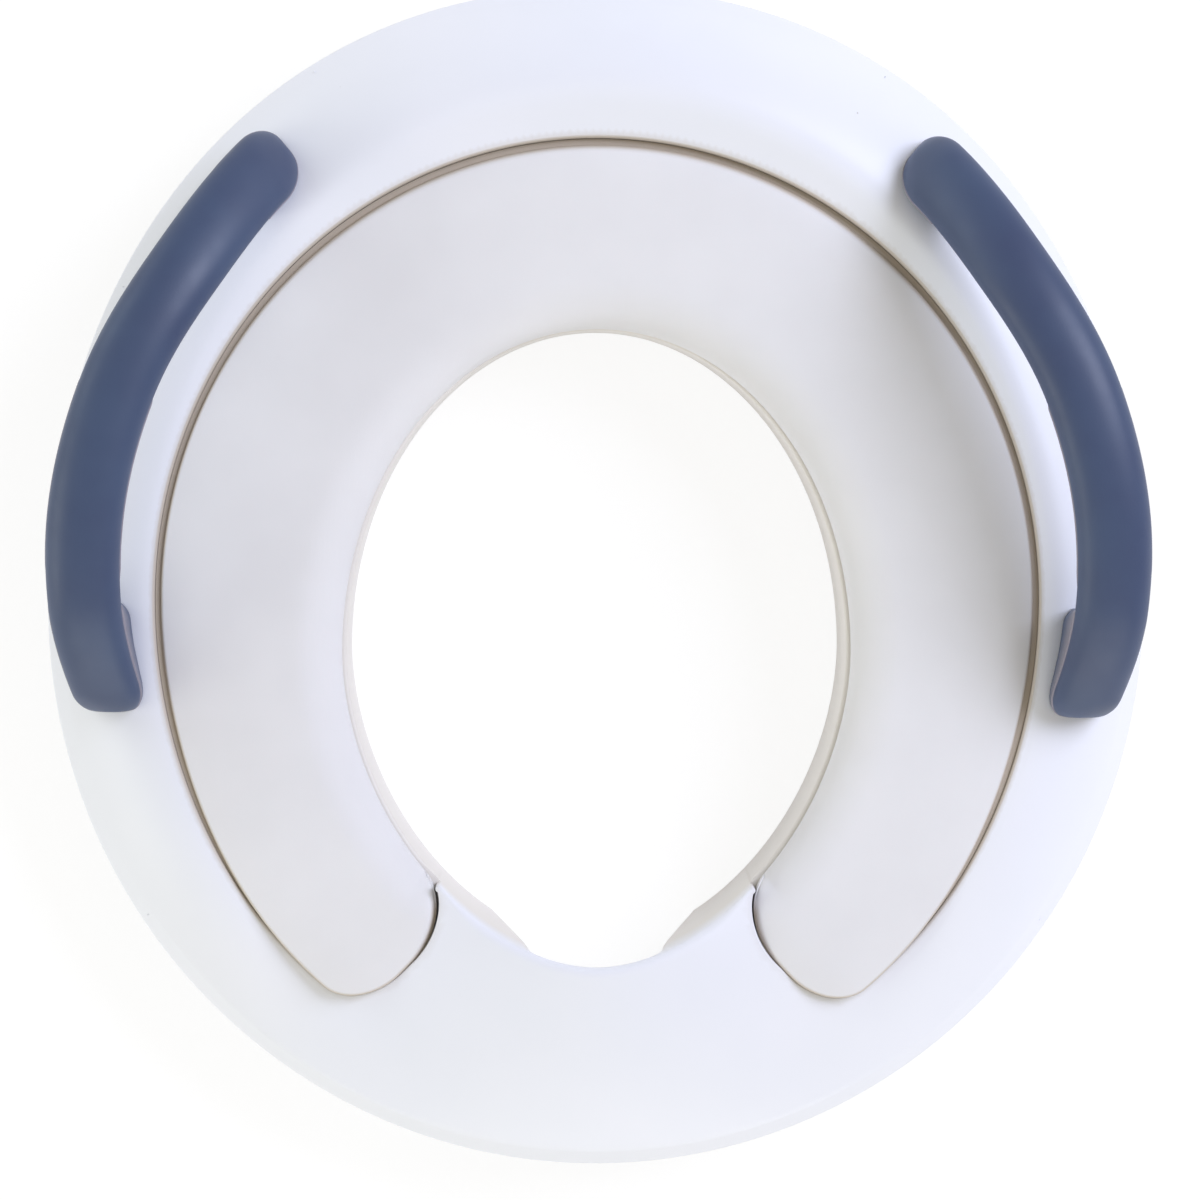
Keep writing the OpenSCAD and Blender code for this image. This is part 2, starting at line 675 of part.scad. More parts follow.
// Pan-head screws, driven up from below, their heads against the bosses
recess_width = 0.8;
recess_depth = 1.2;
module handle_screws() color(screw_colour) {
    for (p = foot_places)
        translate([p[0], p[1], height_at(p) - boss_length - wall]) {
            cylinder(d = screw_diameter, h = screw_length, $fn = small_sides);
            difference() {
                translate([0, 0, -screw_head_height])
                    cylinder(d = screw_head_diameter, h = screw_head_height, $fn = round_sides);
                for (turn = [0, 90])
                    rotate([0, 0, turn])
                    translate([-screw_diameter / 2, -recess_width / 2, -2 * screw_head_height])
                        cube([screw_diameter, recess_width, screw_head_height + recess_depth]);
            }
        }
}

// Rubber grip pushed over the lower edge of a rib, midway between collar and skirt
module grip_pad(t) color(grip_colour) {
    start = ring_point(hole_ring, t);
    end = ring_point(rim_ring, t);
    mid = mix(start, end, 0.5);
    slot = rib_thickness + 2 * grip_clearance;
    low = skirt_z - grip_drop;
    rib_low = skirt_z + rib_lift;
    translate([mid[0], mid[1], low])
        rotate([0, 0, atan2(end[1] - start[1], end[0] - start[0])])
        difference() {
            translate([-grip_length / 2, -grip_width / 2, 0])
                cube([grip_length, grip_width, grip_height]);
            translate([-grip_length, -slot / 2, rib_low - low])
                cube([2 * grip_length, slot, grip_height]);
        }
}
back_left_rib = 150;
back_right_rib = 30;
front_left_rib = 214;
front_right_rib = 326;

seat_shell();
seat_pad();
left_handle();
right_handle();
handle_screws();
grip_pad(back_left_rib);  // back_left_grip_pad
grip_pad(back_right_rib);  // back_right_grip_pad
grip_pad(front_left_rib);  // front_left_grip_pad
grip_pad(front_right_rib);  // front_right_grip_pad
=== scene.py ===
"""Toddler potty training seat, laid flat and looked down on from above its front.

A satin polypropylene ring holds a soft foam horseshoe pad in a tray, and two slate blue grab
handles stand on its crest. Lengths are millimetres until a mesh is made, and metres after that.
"""
import math

import bmesh
import bpy
import numpy as np
from mathutils import Matrix, Vector
from mathutils.geometry import delaunay_2d_cdt


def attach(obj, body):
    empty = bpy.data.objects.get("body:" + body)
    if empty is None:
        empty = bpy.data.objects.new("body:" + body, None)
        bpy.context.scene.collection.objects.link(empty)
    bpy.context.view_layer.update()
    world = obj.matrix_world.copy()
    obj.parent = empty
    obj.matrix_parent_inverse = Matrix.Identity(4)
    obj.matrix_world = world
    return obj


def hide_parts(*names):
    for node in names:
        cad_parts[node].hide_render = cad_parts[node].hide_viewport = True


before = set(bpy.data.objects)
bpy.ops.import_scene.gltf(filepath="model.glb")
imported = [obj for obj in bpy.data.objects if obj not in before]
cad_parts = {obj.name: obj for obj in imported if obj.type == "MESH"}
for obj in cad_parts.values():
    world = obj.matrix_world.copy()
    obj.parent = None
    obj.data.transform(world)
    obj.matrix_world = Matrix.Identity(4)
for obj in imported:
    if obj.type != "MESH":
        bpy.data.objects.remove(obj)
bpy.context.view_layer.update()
MM = 0.001
FULL_TURN = 360.0
FRONT = 270.0


# The rings that the moulding follows

class Ring:
    """An egg-shaped outline: half width, reach behind and in front of its widest row."""

    def __init__(self, half, back, front, row, back_power=2.0, front_power=2.0):
        self.half = half
        self.back = back
        self.front = front
        self.row = row
        self.back_power = back_power
        self.front_power = front_power

    def grown(self, by):
        return Ring(self.half + by, self.back + by, self.front + by, self.row,
                    self.back_power, self.front_power)

    def at(self, turn):
        """Points at angles in degrees, counted from +X towards the back."""
        angle = np.radians(np.asarray(turn, float))
        across, along = np.cos(angle), np.sin(angle)
        behind = along >= 0
        reach = np.where(behind, self.back, self.front)
        power = 2 / np.where(behind, self.back_power, self.front_power)
        x = self.half * np.sign(across) * np.abs(across) ** power
        y = self.row + reach * np.sign(along) * np.abs(along) ** power
        return np.stack([x, y], axis=-1)


RIM_ROW = -8.65
RIM = Ring(171.3, 192.5, 175.2, RIM_ROW, 2.13, 2.0)
HOLE = Ring(77.7, 99.9, 96.2, RIM_ROW - 13.85, 2.0, 1.84)
TRAY = Ring(136.4, 142.3, 152.5, RIM_ROW + 2.55)
CREST = Ring(140.4, 158.3, 156.5, RIM_ROW + 2.55)
RIM_ROLL = 4.6
CHAMFER_Z = 37.2
CHAMFER_ROUND = 2.4
CHAMFER_FOOT_Z = 36.3
CREASE = RIM.grown(-RIM_ROLL)

WALL = 2.4
SKIRT_Z = 28.0
SKIRT_TOP_Z = 37.5
CREASE_Z = 42.5
EDGE_Z = 56.8
CREST_SIDE_RISE = 0.2
CREST_BACK_RISE = 6.0
CREST_STRAIGHT = 0.6
GUARD_RISE = 12.2
GUARD_HALF_ANGLE = 50.0
SWELL_POWER = 1.5
OUTER_FALL_POWER = 1.7
GUARD_STRAIGHT_SHARE = 0.6
GUARD_EASE_START = 24.0
GUARD_EASE_ANGLE = 40.0
PAST_CREASE = 1.2
SHARE_RANGE = (-0.15, 3.1)

TRAY_Z = 44.0
TRAY_END_ANGLE = 32.5
TRAY_CORNER_ANGLE = 5.5
TRAY_INNER_ANGLE = 11.0
OUTER_END_SHARE = 0.62
INNER_END_SHARE = 0.5


def mix(a, b, f):
    return a * (1 - f) + b * f


def smooth(f):
    f = np.clip(f, 0, 1)
    return f * f * (3 - 2 * f)


def eased(value, start, length):
    """Rises softly from 0 at a start to 1 at the end of a length."""
    return smooth((value - start) / length)


def quarter(f):
    return np.sqrt(np.clip(1 - (1 - np.clip(f, 0, 1)) ** 2, 0, 1))


def ridge(f, straight):
    """A slope that runs straight for a share of its way and then rounds off level."""
    f = np.clip(f, 0, 1)
    steep = 2 / (1 + straight)
    return np.where(f < straight, steep * f, 1 - steep * (1 - f) ** 2 / (2 * (1 - straight)))


def from_front(turn):
    gap = np.abs(np.asarray(turn, float) % FULL_TURN - FRONT)
    return np.minimum(gap, FULL_TURN - gap)


def plan(share, turn):
    """Plan points: share is 0 at the hole, 1 at the tray's edge, 2 at the crest, 3 at the crease."""
    share = np.asarray(share, float)[..., None]
    hole, tray, crest, crease = (ring.at(turn) for ring in (HOLE, TRAY, CREST, CREASE))
    inner = mix(hole, tray, share)
    middle = mix(tray, crest, share - 1)
    outer = mix(crest, crease, share - 2)
    return np.where(share <= 1, inner, np.where(share <= 2, middle, outer))


def crest_z(turn):
    behind = np.maximum(0, np.sin(np.radians(turn)))
    return EDGE_Z + CREST_SIDE_RISE + CREST_BACK_RISE * behind ** SWELL_POWER


def lip_z(turn):
    aside = np.minimum(1, from_front(turn) / GUARD_HALF_ANGLE)
    return EDGE_Z + GUARD_RISE * np.cos(aside * math.pi / 2).clip(0) ** SWELL_POWER


def seat_z(share, turn):
    crest = crest_z(turn)
    rise = mix(EDGE_Z, crest, ridge(share - 1, CREST_STRAIGHT))
    fall = mix(crest, CREASE_Z, np.clip(share - 2, 0, PAST_CREASE) ** OUTER_FALL_POWER)
    return np.where(share <= 1, EDGE_Z, np.where(share <= 2, rise, fall))


def guard_z(share, turn):
    start = HOLE.at(turn)
    reach = np.linalg.norm(CREASE.at(turn) - start, axis=-1)
    run = np.linalg.norm(plan(share, turn) - start, axis=-1) / reach
    return mix(lip_z(turn), CREASE_Z, run * mix(run, 1, GUARD_STRAIGHT_SHARE))


def surface_z(share, turn):
    seat = eased(from_front(turn), GUARD_EASE_START, GUARD_EASE_ANGLE)
    return mix(guard_z(share, turn), seat_z(share, turn), seat)


def polar(points):
    x, y = points[..., 0], points[..., 1] - RIM_ROW
    return np.hypot(x, y), np.degrees(np.arctan2(y, x)) % FULL_TURN


def located(points, rounds=9):
    """Shares and angles of plan points, closed in on over a few rounds."""
    reach, heading = polar(points)
    turn = heading.copy()
    share = np.ones_like(reach)
    for step in range(rounds):
        hole, tray, crest, crease = (polar(ring.at(turn))[0] for ring in (HOLE, TRAY, CREST, CREASE))
        slope = np.where(share <= 1, tray - hole, np.where(share <= 2, crest - tray, crease - crest))
        if step == 0:
            share = np.where(reach < tray, (reach - hole) / (tray - hole),
                             np.where(reach < crest, 1 + (reach - tray) / (crest - tray),
                                      2 + (reach - crest) / (crease - crest)))
            continue
        at, heads = polar(plan(share, turn))
        share = np.clip(share + (reach - at) / slope, *SHARE_RANGE)
        turn = turn + (heading - heads + FULL_TURN / 2) % FULL_TURN - FULL_TURN / 2
    return share, turn % FULL_TURN


def height_at(points):
    share, turn = located(np.asarray(points, float))
    return surface_z(share, turn)


# Mesh helpers

MERGE_MM = 0.02
FINE_MERGE_MM = 0.01
EMPTY_EDGE_MM = 0.002
LEFT_TO_RIGHT = np.array([-1.0, 1.0])


def with_z(points, z):
    points = np.asarray(points, float)
    heights = np.broadcast_to(np.asarray(z, float), points.shape[:-1])
    return np.concatenate([points, heights[..., None]], axis=-1)


class Builder:
    """Collects points in millimetres and faces, and makes one plain mesh of them."""

    def __init__(self):
        self.points = []
        self.faces = []

    def add(self, points):
        start = len(self.points)
        self.points.extend(np.asarray(points, float).reshape(-1, 3).tolist())
        return start

    def rows(self, rows, looped=True):
        """Quads between rows of points that have the same count each."""
        rows = np.asarray(rows, float)
        count, around = rows.shape[:2]
        start = self.add(rows)
        last = around if looped else around - 1
        for i in range(count - 1):
            for j in range(last):
                k = (j + 1) % around
                a = start + i * around
                self.faces.append((a + j, a + k, a + around + k, a + around + j))

    def faces_of(self, points, faces):
        start = self.add(points)
        self.faces.extend(tuple(start + i for i in face) for face in faces)

    def cap(self, outline, z):
        """Fills a closed outline at one height."""
        flat, faces = filled([outline], [])
        self.faces_of(with_z(flat, z), faces)

    def mesh(self, name, merge=MERGE_MM):
        """Merges doubles, drops empty edges and turns every face outwards."""
        data = bpy.data.meshes.new(name)
        data.from_pydata((np.array(self.points) * MM).tolist(), [], self.faces)
        shape = bmesh.new()
        shape.from_mesh(data)
        bmesh.ops.remove_doubles(shape, verts=shape.verts, dist=merge * MM)
        bmesh.ops.dissolve_degenerate(shape, edges=shape.edges, dist=EMPTY_EDGE_MM * MM)
        bmesh.ops.recalc_face_normals(shape, faces=shape.faces)
        shape.to_mesh(data)
        shape.free()
        data.update()
        return data


def linked(name, data):
    made = bpy.data.objects.new(name, data)
    bpy.context.scene.collection.objects.link(made)
    return made


def places_of(data):
    """A mesh's points in millimetres."""
    return np.array([list(v.co) for v in data.vertices]) / MM


def smoothed(data, sharp_degrees):
    """Smooth shading, with edges sharper than an angle left sharp."""
    data.shade_smooth()
    data.set_sharp_from_angle(angle=math.radians(sharp_degrees))


def paint(data, name, values):
    """Stores a value at each point, for a material to read."""
    layer = data.attributes.new(name, "FLOAT", "POINT")
    layer.data.foreach_set("value", np.asarray(values, np.float32))


def piece_from(data, name, material):
    piece = linked(name, data)
    data.materials.clear()
    data.materials.append(material)
    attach(piece, "root")
    return piece


# Materials

SPECK_SPACING_MM = 34
SPECK_SIZES = (0.006, 0.012)
# Painted shade: the warm grey-brown laid into the groove between the pad and the shell, on both parts
GAP_SHADE_HEX = "#bdb2a4"
CREASE_DEPTH = 0.12
CREASE_TURN = math.radians(32)


def linear(hex_colour):
    """An sRGB hex colour turned to the linear values that the shader takes."""
    channels = [int(hex_colour[i:i + 2], 16) / 255 for i in (1, 3, 5)]
    return [c / 12.92 if c <= 0.04045 else ((c + 0.055) / 1.055) ** 2.4 for c in channels] + [1.0]


def feed(tree, node, inputs):
    """Sets or links inputs, by their names with _ for a space, or as iN by their index N."""
    for key, value in inputs.items():
        by_index = key[0] == "i" and key[1:].isdigit()
        socket = node.inputs[int(key[1:]) if by_index else key.replace("_", " ")]
        if isinstance(value, bpy.types.NodeSocket):
            tree.links.new(value, socket)
        else:
            socket.default_value = value


def add_node(tree, kind, settings=None, **inputs):
    """Adds a node with its settings, and feeds its inputs."""
    node = tree.nodes.new(kind)
    for key, value in (settings or {}).items():
        setattr(node, key, value)
    feed(tree, node, inputs)
    return node


class Recipe:
    """A material's node tree, and the steps that the materials share."""

    def __init__(self, name):
        self.material = bpy.data.materials.new(name)
        self.material.use_nodes = True
        self.tree = self.material.node_tree

    def add(self, kind, settings=None, **inputs):
        return add_node(self.tree, kind, settings, **inputs)

    def surface(self, **inputs):
        feed(self.tree, self.tree.nodes["Principled BSDF"], inputs)
        return self.material

    def place(self):
        return self.add("ShaderNodeTexCoord").outputs["Object"]

    def mark(self, name):
        """What the mesh stores at its points under a name."""
        return self.add("ShaderNodeAttribute", {"attribute_name": name}).outputs["Fac"]

    def maths(self, operation, *values):
        inputs = {"i" + str(k): value for k, value in enumerate(values)}
        return self.add("ShaderNodeMath", {"operation": operation}, **inputs).outputs[0]

    def noise(self, place, period_mm, detail=2.0):
        """Noise whose features are about a period in size, in real millimetres."""
        return self.add("ShaderNodeTexNoise", Vector=place, Scale=1 / (period_mm * MM),
                        Detail=detail, Roughness=0.5).outputs["Fac"]

    def ramp(self, value, low, high, low_hex, high_hex):
        node = self.add("ShaderNodeValToRGB", Fac=value)
        first, second = node.color_ramp.elements
        first.position, second.position = low, high
        first.color, second.color = linear(low_hex), linear(high_hex)
        return node.outputs["Color"]

    def span(self, value, low, high, to_low, to_high):
        return self.add("ShaderNodeMapRange", i0=value, i1=low, i2=high, i3=to_low,
                        i4=to_high).outputs["Result"]

    def blend(self, amount, colour, hex_colour):
        """A colour that turns to another where the amount is one."""
        return self.add("ShaderNodeMix", {"data_type": "RGBA"}, i0=amount, i6=colour,
                        i7=linear(hex_colour)).outputs[2]

    def bump(self, height, strength, depth_mm, **others):
        return self.add("ShaderNodeBump", Strength=strength, Distance=depth_mm * MM, Height=height,
                        **others).outputs["Normal"]


def polypropylene_white():
    """Injection-moulded polypropylene from a satin tool: an even, faintly blue white, with a soft
    wide highlight, a hardly visible orange peel and a few dust specks in the surface. Painted
    shade darkens it in the groove beside the pad, and painted warm shade tints the hole's wall."""
    recipe = Recipe("polypropylene_white_satin_moulded")
    place = recipe.place()
    tint = recipe.ramp(recipe.noise(place, 70, 3.0), 0.3, 0.7, "#e9ecf4", "#edeff7")
    dots = recipe.add("ShaderNodeTexVoronoi", Vector=place, Scale=1 / (SPECK_SPACING_MM * MM),
                      Randomness=1.0)
    dusty = recipe.blend(recipe.span(dots.outputs["Distance"], *SPECK_SIZES, 1.0, 0.0), tint, "#b9b4ae")
    # Painted warm shade on the hole's wall
    warm = recipe.blend(recipe.mark("recess"), dusty, "#e4e0db")
    # Painted shade on the shell's edge and wall beside the pad's groove
    colour = recipe.blend(recipe.mark("joint_shade"), warm, GAP_SHADE_HEX)
    sheen = recipe.span(recipe.noise(place, 12, 3.0), 0.25, 0.75, 0.34, 0.40)
    peel = recipe.bump(recipe.noise(place, 1.6), 0.06, 0.2)
    return recipe.surface(Base_Color=colour, Roughness=sheen, Normal=peel, IOR=1.49,
                          Specular_IOR_Level=0.45)


def foam_skin():
    """Self-skinning polyurethane foam: a soft matt skin, a touch greyer than the shell, with faint
    flow streaks along the moulding and a few fine hand creases. Painted shade darkens its edge
    where it rolls down into the groove beside the shell."""
    recipe = Recipe("polyurethane_foam_skin")
    place = recipe.place()
    cloud = recipe.noise(place, 45, 4.0)
    skin = recipe.ramp(cloud, 0.3, 0.72, "#e1e1e4", "#e7e7ea")
    # Painted shade down the pad's edge into the groove
    tint = recipe.blend(recipe.mark("groove_shade"), skin, GAP_SHADE_HEX)
    long_way = recipe.add("ShaderNodeMapping", Vector=place, Scale=(1.0, 0.12, 1.0))
    streak = recipe.noise(long_way.outputs["Vector"], 3.5, 3.0)
    slant = recipe.add("ShaderNodeMapping", Vector=place, Rotation=(0.0, 0.0, CREASE_TURN),
                       Scale=(0.09, 1.0, 1.0))
    crease = recipe.noise(slant.outputs["Vector"], 9)
    line = recipe.maths("MULTIPLY", recipe.span(crease, 0.485, 0.5, 0.0, 1.0),
                        recipe.span(crease, 0.5, 0.515, 1.0, 0.0))
    broad = recipe.bump(recipe.maths("MULTIPLY_ADD", line, -CREASE_DEPTH, streak), 0.10, 0.4)
    fine = recipe.bump(recipe.noise(place, 0.9, 3.0), 0.10, 0.1, Normal=broad)
    sheen = recipe.span(cloud, 0.3, 0.7, 0.50, 0.58)
    return recipe.surface(Base_Color=tint, Roughness=sheen, Normal=fine, IOR=1.45,
                          Specular_IOR_Level=0.4, Subsurface_Weight=0.05,
                          Subsurface_Radius=(0.004, 0.003, 0.003), Subsurface_Scale=0.4)


def polypropylene_slate():
    """The same moulded polypropylene, coloured slate blue through and through: satin, with the
    fine spark-eroded grain that handle tools have, and a painted highlight: a paler grey-lilac
    line where their halves part."""
    recipe = Recipe("polypropylene_slate_blue_grained")
    place = recipe.place()
    tint = recipe.ramp(recipe.noise(place, 30, 3.0), 0.3, 0.7, "#3b4868", "#40506f")
    # Painted highlight along the parting seam
    colour = recipe.blend(recipe.mark("parting"), tint, "#8f8a97")
    sheen = recipe.span(recipe.noise(place, 8, 3.0), 0.25, 0.75, 0.42, 0.50)
    grain = recipe.bump(recipe.noise(place, 0.7), 0.16, 0.1)
    return recipe.surface(Base_Color=colour, Roughness=sheen, Normal=grain, IOR=1.49,
                          Specular_IOR_Level=0.5)


def elastomer_grey():
    """Thermoplastic elastomer, moulded: dull, a little dusty and softly grained."""
    recipe = Recipe("thermoplastic_elastomer_grey")
    place = recipe.place()
    tint = recipe.ramp(recipe.noise(place, 5, 4.0), 0.3, 0.75, "#8c9097", "#9b9fa6")
    grain = recipe.bump(recipe.noise(place, 0.5), 0.25, 0.1)
    return recipe.surface(Base_Color=tint, Roughness=0.72, Normal=grain, IOR=1.5)


def zinc_steel():
    """Zinc-plated steel, turned and rolled: bright grey with a slight cloudiness."""
    recipe = Recipe("zinc_plated_steel")
    cloud = recipe.noise(recipe.place(), 2, 3.0)
    tint = recipe.ramp(cloud, 0.3, 0.7, "#b9bcc2", "#cdd0d5")
    sheen = recipe.span(cloud, 0.3, 0.7, 0.28, 0.42)
    return recipe.surface(Base_Color=tint, Metallic=1.0, Roughness=sheen)


# Outline of the tray, with its rounded ends

NOSE_ANGLE = 40.0
NOSE_SHARE = 0.036
NOSE_POINTS = 9
STEP_MM = 1.1
END_POINTS = 60
SIDE_POINTS = 240


def run_of(points):
    """Length of a polyline up to each of its points."""
    return np.concatenate([[0], np.cumsum(np.linalg.norm(np.diff(points, axis=0), axis=1))])


def respaced(points, step):
    """The same polyline with evenly spaced points."""
    run = run_of(points)
    at = np.linspace(0, run[-1], max(2, int(round(run[-1] / step)) + 1))
    return np.stack([np.interp(at, run, points[:, k]) for k in range(2)], axis=-1)


def end_curves(count, first):
    """Shares and angles of a rounded end from a first angle: its inner curve and its outer one."""
    swing = np.linspace(math.pi / 2, 0, count)
    rise = np.linspace(0, math.pi / 2, count)
    return ((INNER_END_SHARE * (1 - np.sin(swing)), first + TRAY_INNER_ANGLE * (1 - np.cos(swing))),
            (OUTER_END_SHARE + (1 - OUTER_END_SHARE) * np.sin(rise),
             first + TRAY_CORNER_ANGLE * (1 - np.cos(rise))))


def tray_end_outline():
    """The right-hand end of the tray, from the nose beside the hole to its outer edge."""
    (inner_share, inner_angle), (outer_share, outer_angle) = end_curves(END_POINTS, TRAY_END_ANGLE)
    keep = inner_share >= NOSE_SHARE
    return plan(np.concatenate([inner_share[keep], outer_share]),
                FRONT + np.concatenate([inner_angle[keep], outer_angle]))


def mirrored(points):
    return points[::-1] * LEFT_TO_RIGHT


def rounded_nose(hole_end, tray_start):
    """Half circle that turns from the hole's edge back along the tray's end."""
    middle = (hole_end + tray_start) / 2
    radius = np.linalg.norm(tray_start - hole_end) / 2
    across = (tray_start - hole_end) / (2 * radius)
    ahead = np.array([across[1], -across[0]])
    if ahead[1] < 0:
        ahead = -ahead
    swing = np.linspace(0, math.pi, NOSE_POINTS)[1:-1]
    return middle - np.cos(swing)[:, None] * across * radius + np.sin(swing)[:, None] * ahead * radius


RELIEF_HALF = 20.5
RELIEF_TOP_Z = 65.0
RELIEF_TOP_RADIUS = 6.0
RELIEF_SPREAD = 12.0
RELIEF_CURVE = 0.7
RELIEF_TOP_POINTS = 6
RELIEF_ROUND_POINTS = 9
RELIEF_SIDE_POINTS = 24
ANGLE_STEP = 0.5
ANGLE_APART = 0.12


def collar_foot():
    """Half widths and heights along the lower edge of the collar, round the gap at its front."""
    bend = np.linspace(0, math.pi / 2, RELIEF_ROUND_POINTS)
    top_x = RELIEF_HALF - RELIEF_TOP_RADIUS + RELIEF_TOP_RADIUS * np.sin(bend)
    top_z = RELIEF_TOP_Z - RELIEF_TOP_RADIUS + RELIEF_TOP_RADIUS * np.cos(bend)
    level_x = np.linspace(0, top_x[0], RELIEF_TOP_POINTS)[:-1]
    down = np.linspace(0, 1, RELIEF_SIDE_POINTS)[1:]
    x = np.concatenate([level_x, top_x, RELIEF_HALF + RELIEF_SPREAD * down])
    z = np.concatenate([np.full(len(level_x), RELIEF_TOP_Z), top_z,
                        top_z[-1] * (1 - down ** RELIEF_CURVE)])
    return x, z


def gap_angles():
    """The same edge's angles from the front, and its heights."""
    x, z = collar_foot()
    return np.degrees(np.arcsin(np.clip(x / HOLE.half, 0, 1) ** (HOLE.front_power / 2))), z


def half_angles():
    """Angles from the front that every loop round the part is sampled at, on one side."""
    gap, _ = gap_angles()
    even = np.arange(0, FULL_TURN / 2 + ANGLE_STEP / 2, ANGLE_STEP)
    apart = np.abs(even[:, None] - gap[None]).min(axis=1) > ANGLE_APART
    return np.sort(np.concatenate([gap, even[apart]]))


HALF_ANGLES = half_angles()
TURNS = np.concatenate([FRONT + HALF_ANGLES, FRONT - HALF_ANGLES[-2:0:-1]])
EVEN_TURNS = np.arange(0, FULL_TURN, 1.0)
GUARD_ANGLES = HALF_ANGLES[HALF_ANGLES <= NOSE_ANGLE]
TRAY_ANGLES = HALF_ANGLES[HALF_ANGLES >= NOSE_ANGLE]


def shell_edge():
    """Closed inner edge of the shell's upper surface: right half, and its mirror image.

    Gives the points, and which of them lie on the hole's edge."""
    hole = HOLE.at(FRONT + GUARD_ANGLES)
    end = tray_end_outline()
    nose = rounded_nose(hole[-1], end[0])
    start_angle = FRONT + TRAY_END_ANGLE + TRAY_CORNER_ANGLE
    side = TRAY.at(np.linspace(start_angle, FRONT + FULL_TURN / 2, SIDE_POINTS))
    tray = respaced(np.concatenate([end, side[1:]]), STEP_MM)
    right = np.concatenate([hole, nose, tray])
    on_hole = np.zeros(len(right), bool)
    on_hole[:len(hole)] = True
    left = mirrored(right)[1:-1]
    return np.concatenate([right, left]), np.concatenate([on_hole, on_hole[::-1][1:-1]])


def tray_stretch(edge):
    """The part of the shell's inner edge that borders the tray, from nose to nose."""
    corner = len(GUARD_ANGLES) - 1
    return edge[corner:len(edge) - corner + 1]


def outward(points):
    """Unit normals of a closed outline that runs anticlockwise, to its right."""
    ahead = np.roll(points, -1, axis=0) - np.roll(points, 1, axis=0)
    ahead /= np.linalg.norm(ahead, axis=1)[:, None]
    return np.stack([ahead[:, 1], -ahead[:, 0]], axis=-1)


def inside(points, outline):
    """Which points lie within a closed outline."""
    x, y = points[:, 0][:, None], points[:, 1][:, None]
    a, b = outline, np.roll(outline, -1, axis=0)
    crosses = (a[:, 1] > y) != (b[:, 1] > y)
    with np.errstate(divide="ignore", invalid="ignore"):
        at = a[:, 0] + (y - a[:, 1]) / (b[:, 1] - a[:, 1]) * (b[:, 0] - a[:, 0])
    return (np.sum(crosses & (x < at), axis=1) % 2) == 1


def nearest(points, line):
    """Distance of each point from a line's points, and which of them is the closest."""
    gap, index = np.empty(len(points)), np.empty(len(points), int)
    batch = 4000
    for start in range(0, len(points), batch):
        gaps = np.linalg.norm(points[start:start + batch, None] - line[None], axis=2)
        index[start:start + batch] = gaps.argmin(axis=1)
        gap[start:start + batch] = gaps.min(axis=1)
    return gap, index


def clear_of(points, outline, distance):
    """The points that keep a distance from an outline."""
    return points[nearest(points, outline)[0] > distance]


def lattice(shares):
    """Plan points on a staggered grid of shares and whole degrees."""
    return np.concatenate([plan(np.full(len(EVEN_TURNS), share), EVEN_TURNS + (0.5 if row % 2 else 0.0))
                           for row, share in enumerate(shares)])


def filled(loops, inner_points):
    """Triangles between closed loops, over inner points; the first loop is the outermost."""
    points = [Vector(p) for loop in loops for p in loop] + [Vector(p) for p in inner_points]
    edges = []
    start = 0
    for loop in loops:
        count = len(loop)
        edges += [(start + i, start + (i + 1) % count) for i in range(count)]
        start += count
    out = delaunay_2d_cdt(points, edges, [], 0, 1e-6)
    flat = np.array([list(p) for p in out[0]])
    faces = [tuple(f) for f in out[2]]
    middles = np.array([flat[list(f)].mean(axis=0) for f in faces])
    keep = inside(middles, loops[0])
    for loop in loops[1:]:
        keep &= ~inside(middles, loop)
    return flat, [f for f, k in zip(faces, keep) if k]


# The shell

LIP_ROUND = 3.0
LIP_ROUND_NOSE = 0.7
LIP_FADE_ANGLE = 28.0
TRAY_LIP_ROUND = 1.0
TRAY_LIP_FADE = 7.0
EDGE_ROUND_SIDE = 1.0
EDGE_ROUND_END = 0.6
EDGE_ROUND_NOSE = 0.5
EDGE_EASE_NOSE = 5.0
EDGE_EASE_SIDE = (36.0, 14.0)
FAR_SHARE = 0.9
ROUND_STEPS = 6
LATTICE_ROWS = 61
LATTICE_GAP = 0.9
ROLL_STEPS = (0.08, 0.3, 0.6)
CHAMFER_STEPS = 6
SKIRT_FOOT = ((0.2, 0.6), (0.8, 0.0), (WALL, 0.0))


def edge_radius(points, on_hole):
    """Rounding of the surface's inner edge: wide on the lip, finer round the tray's ends."""
    share, turn = located(points)
    angle = from_front(turn)
    lip = mix(LIP_ROUND, LIP_ROUND_NOSE, eased(angle, LIP_FADE_ANGLE, NOSE_ANGLE - LIP_FADE_ANGLE))
    end = mix(EDGE_ROUND_NOSE, EDGE_ROUND_END,
              smooth((NOSE_ANGLE + 1 - angle) / EDGE_EASE_NOSE) * (share < FAR_SHARE))
    side = mix(EDGE_ROUND_END, EDGE_ROUND_SIDE, eased(angle, *EDGE_EASE_SIDE))
    return np.where(on_hole, lip, np.where(share > FAR_SHARE, side, end))


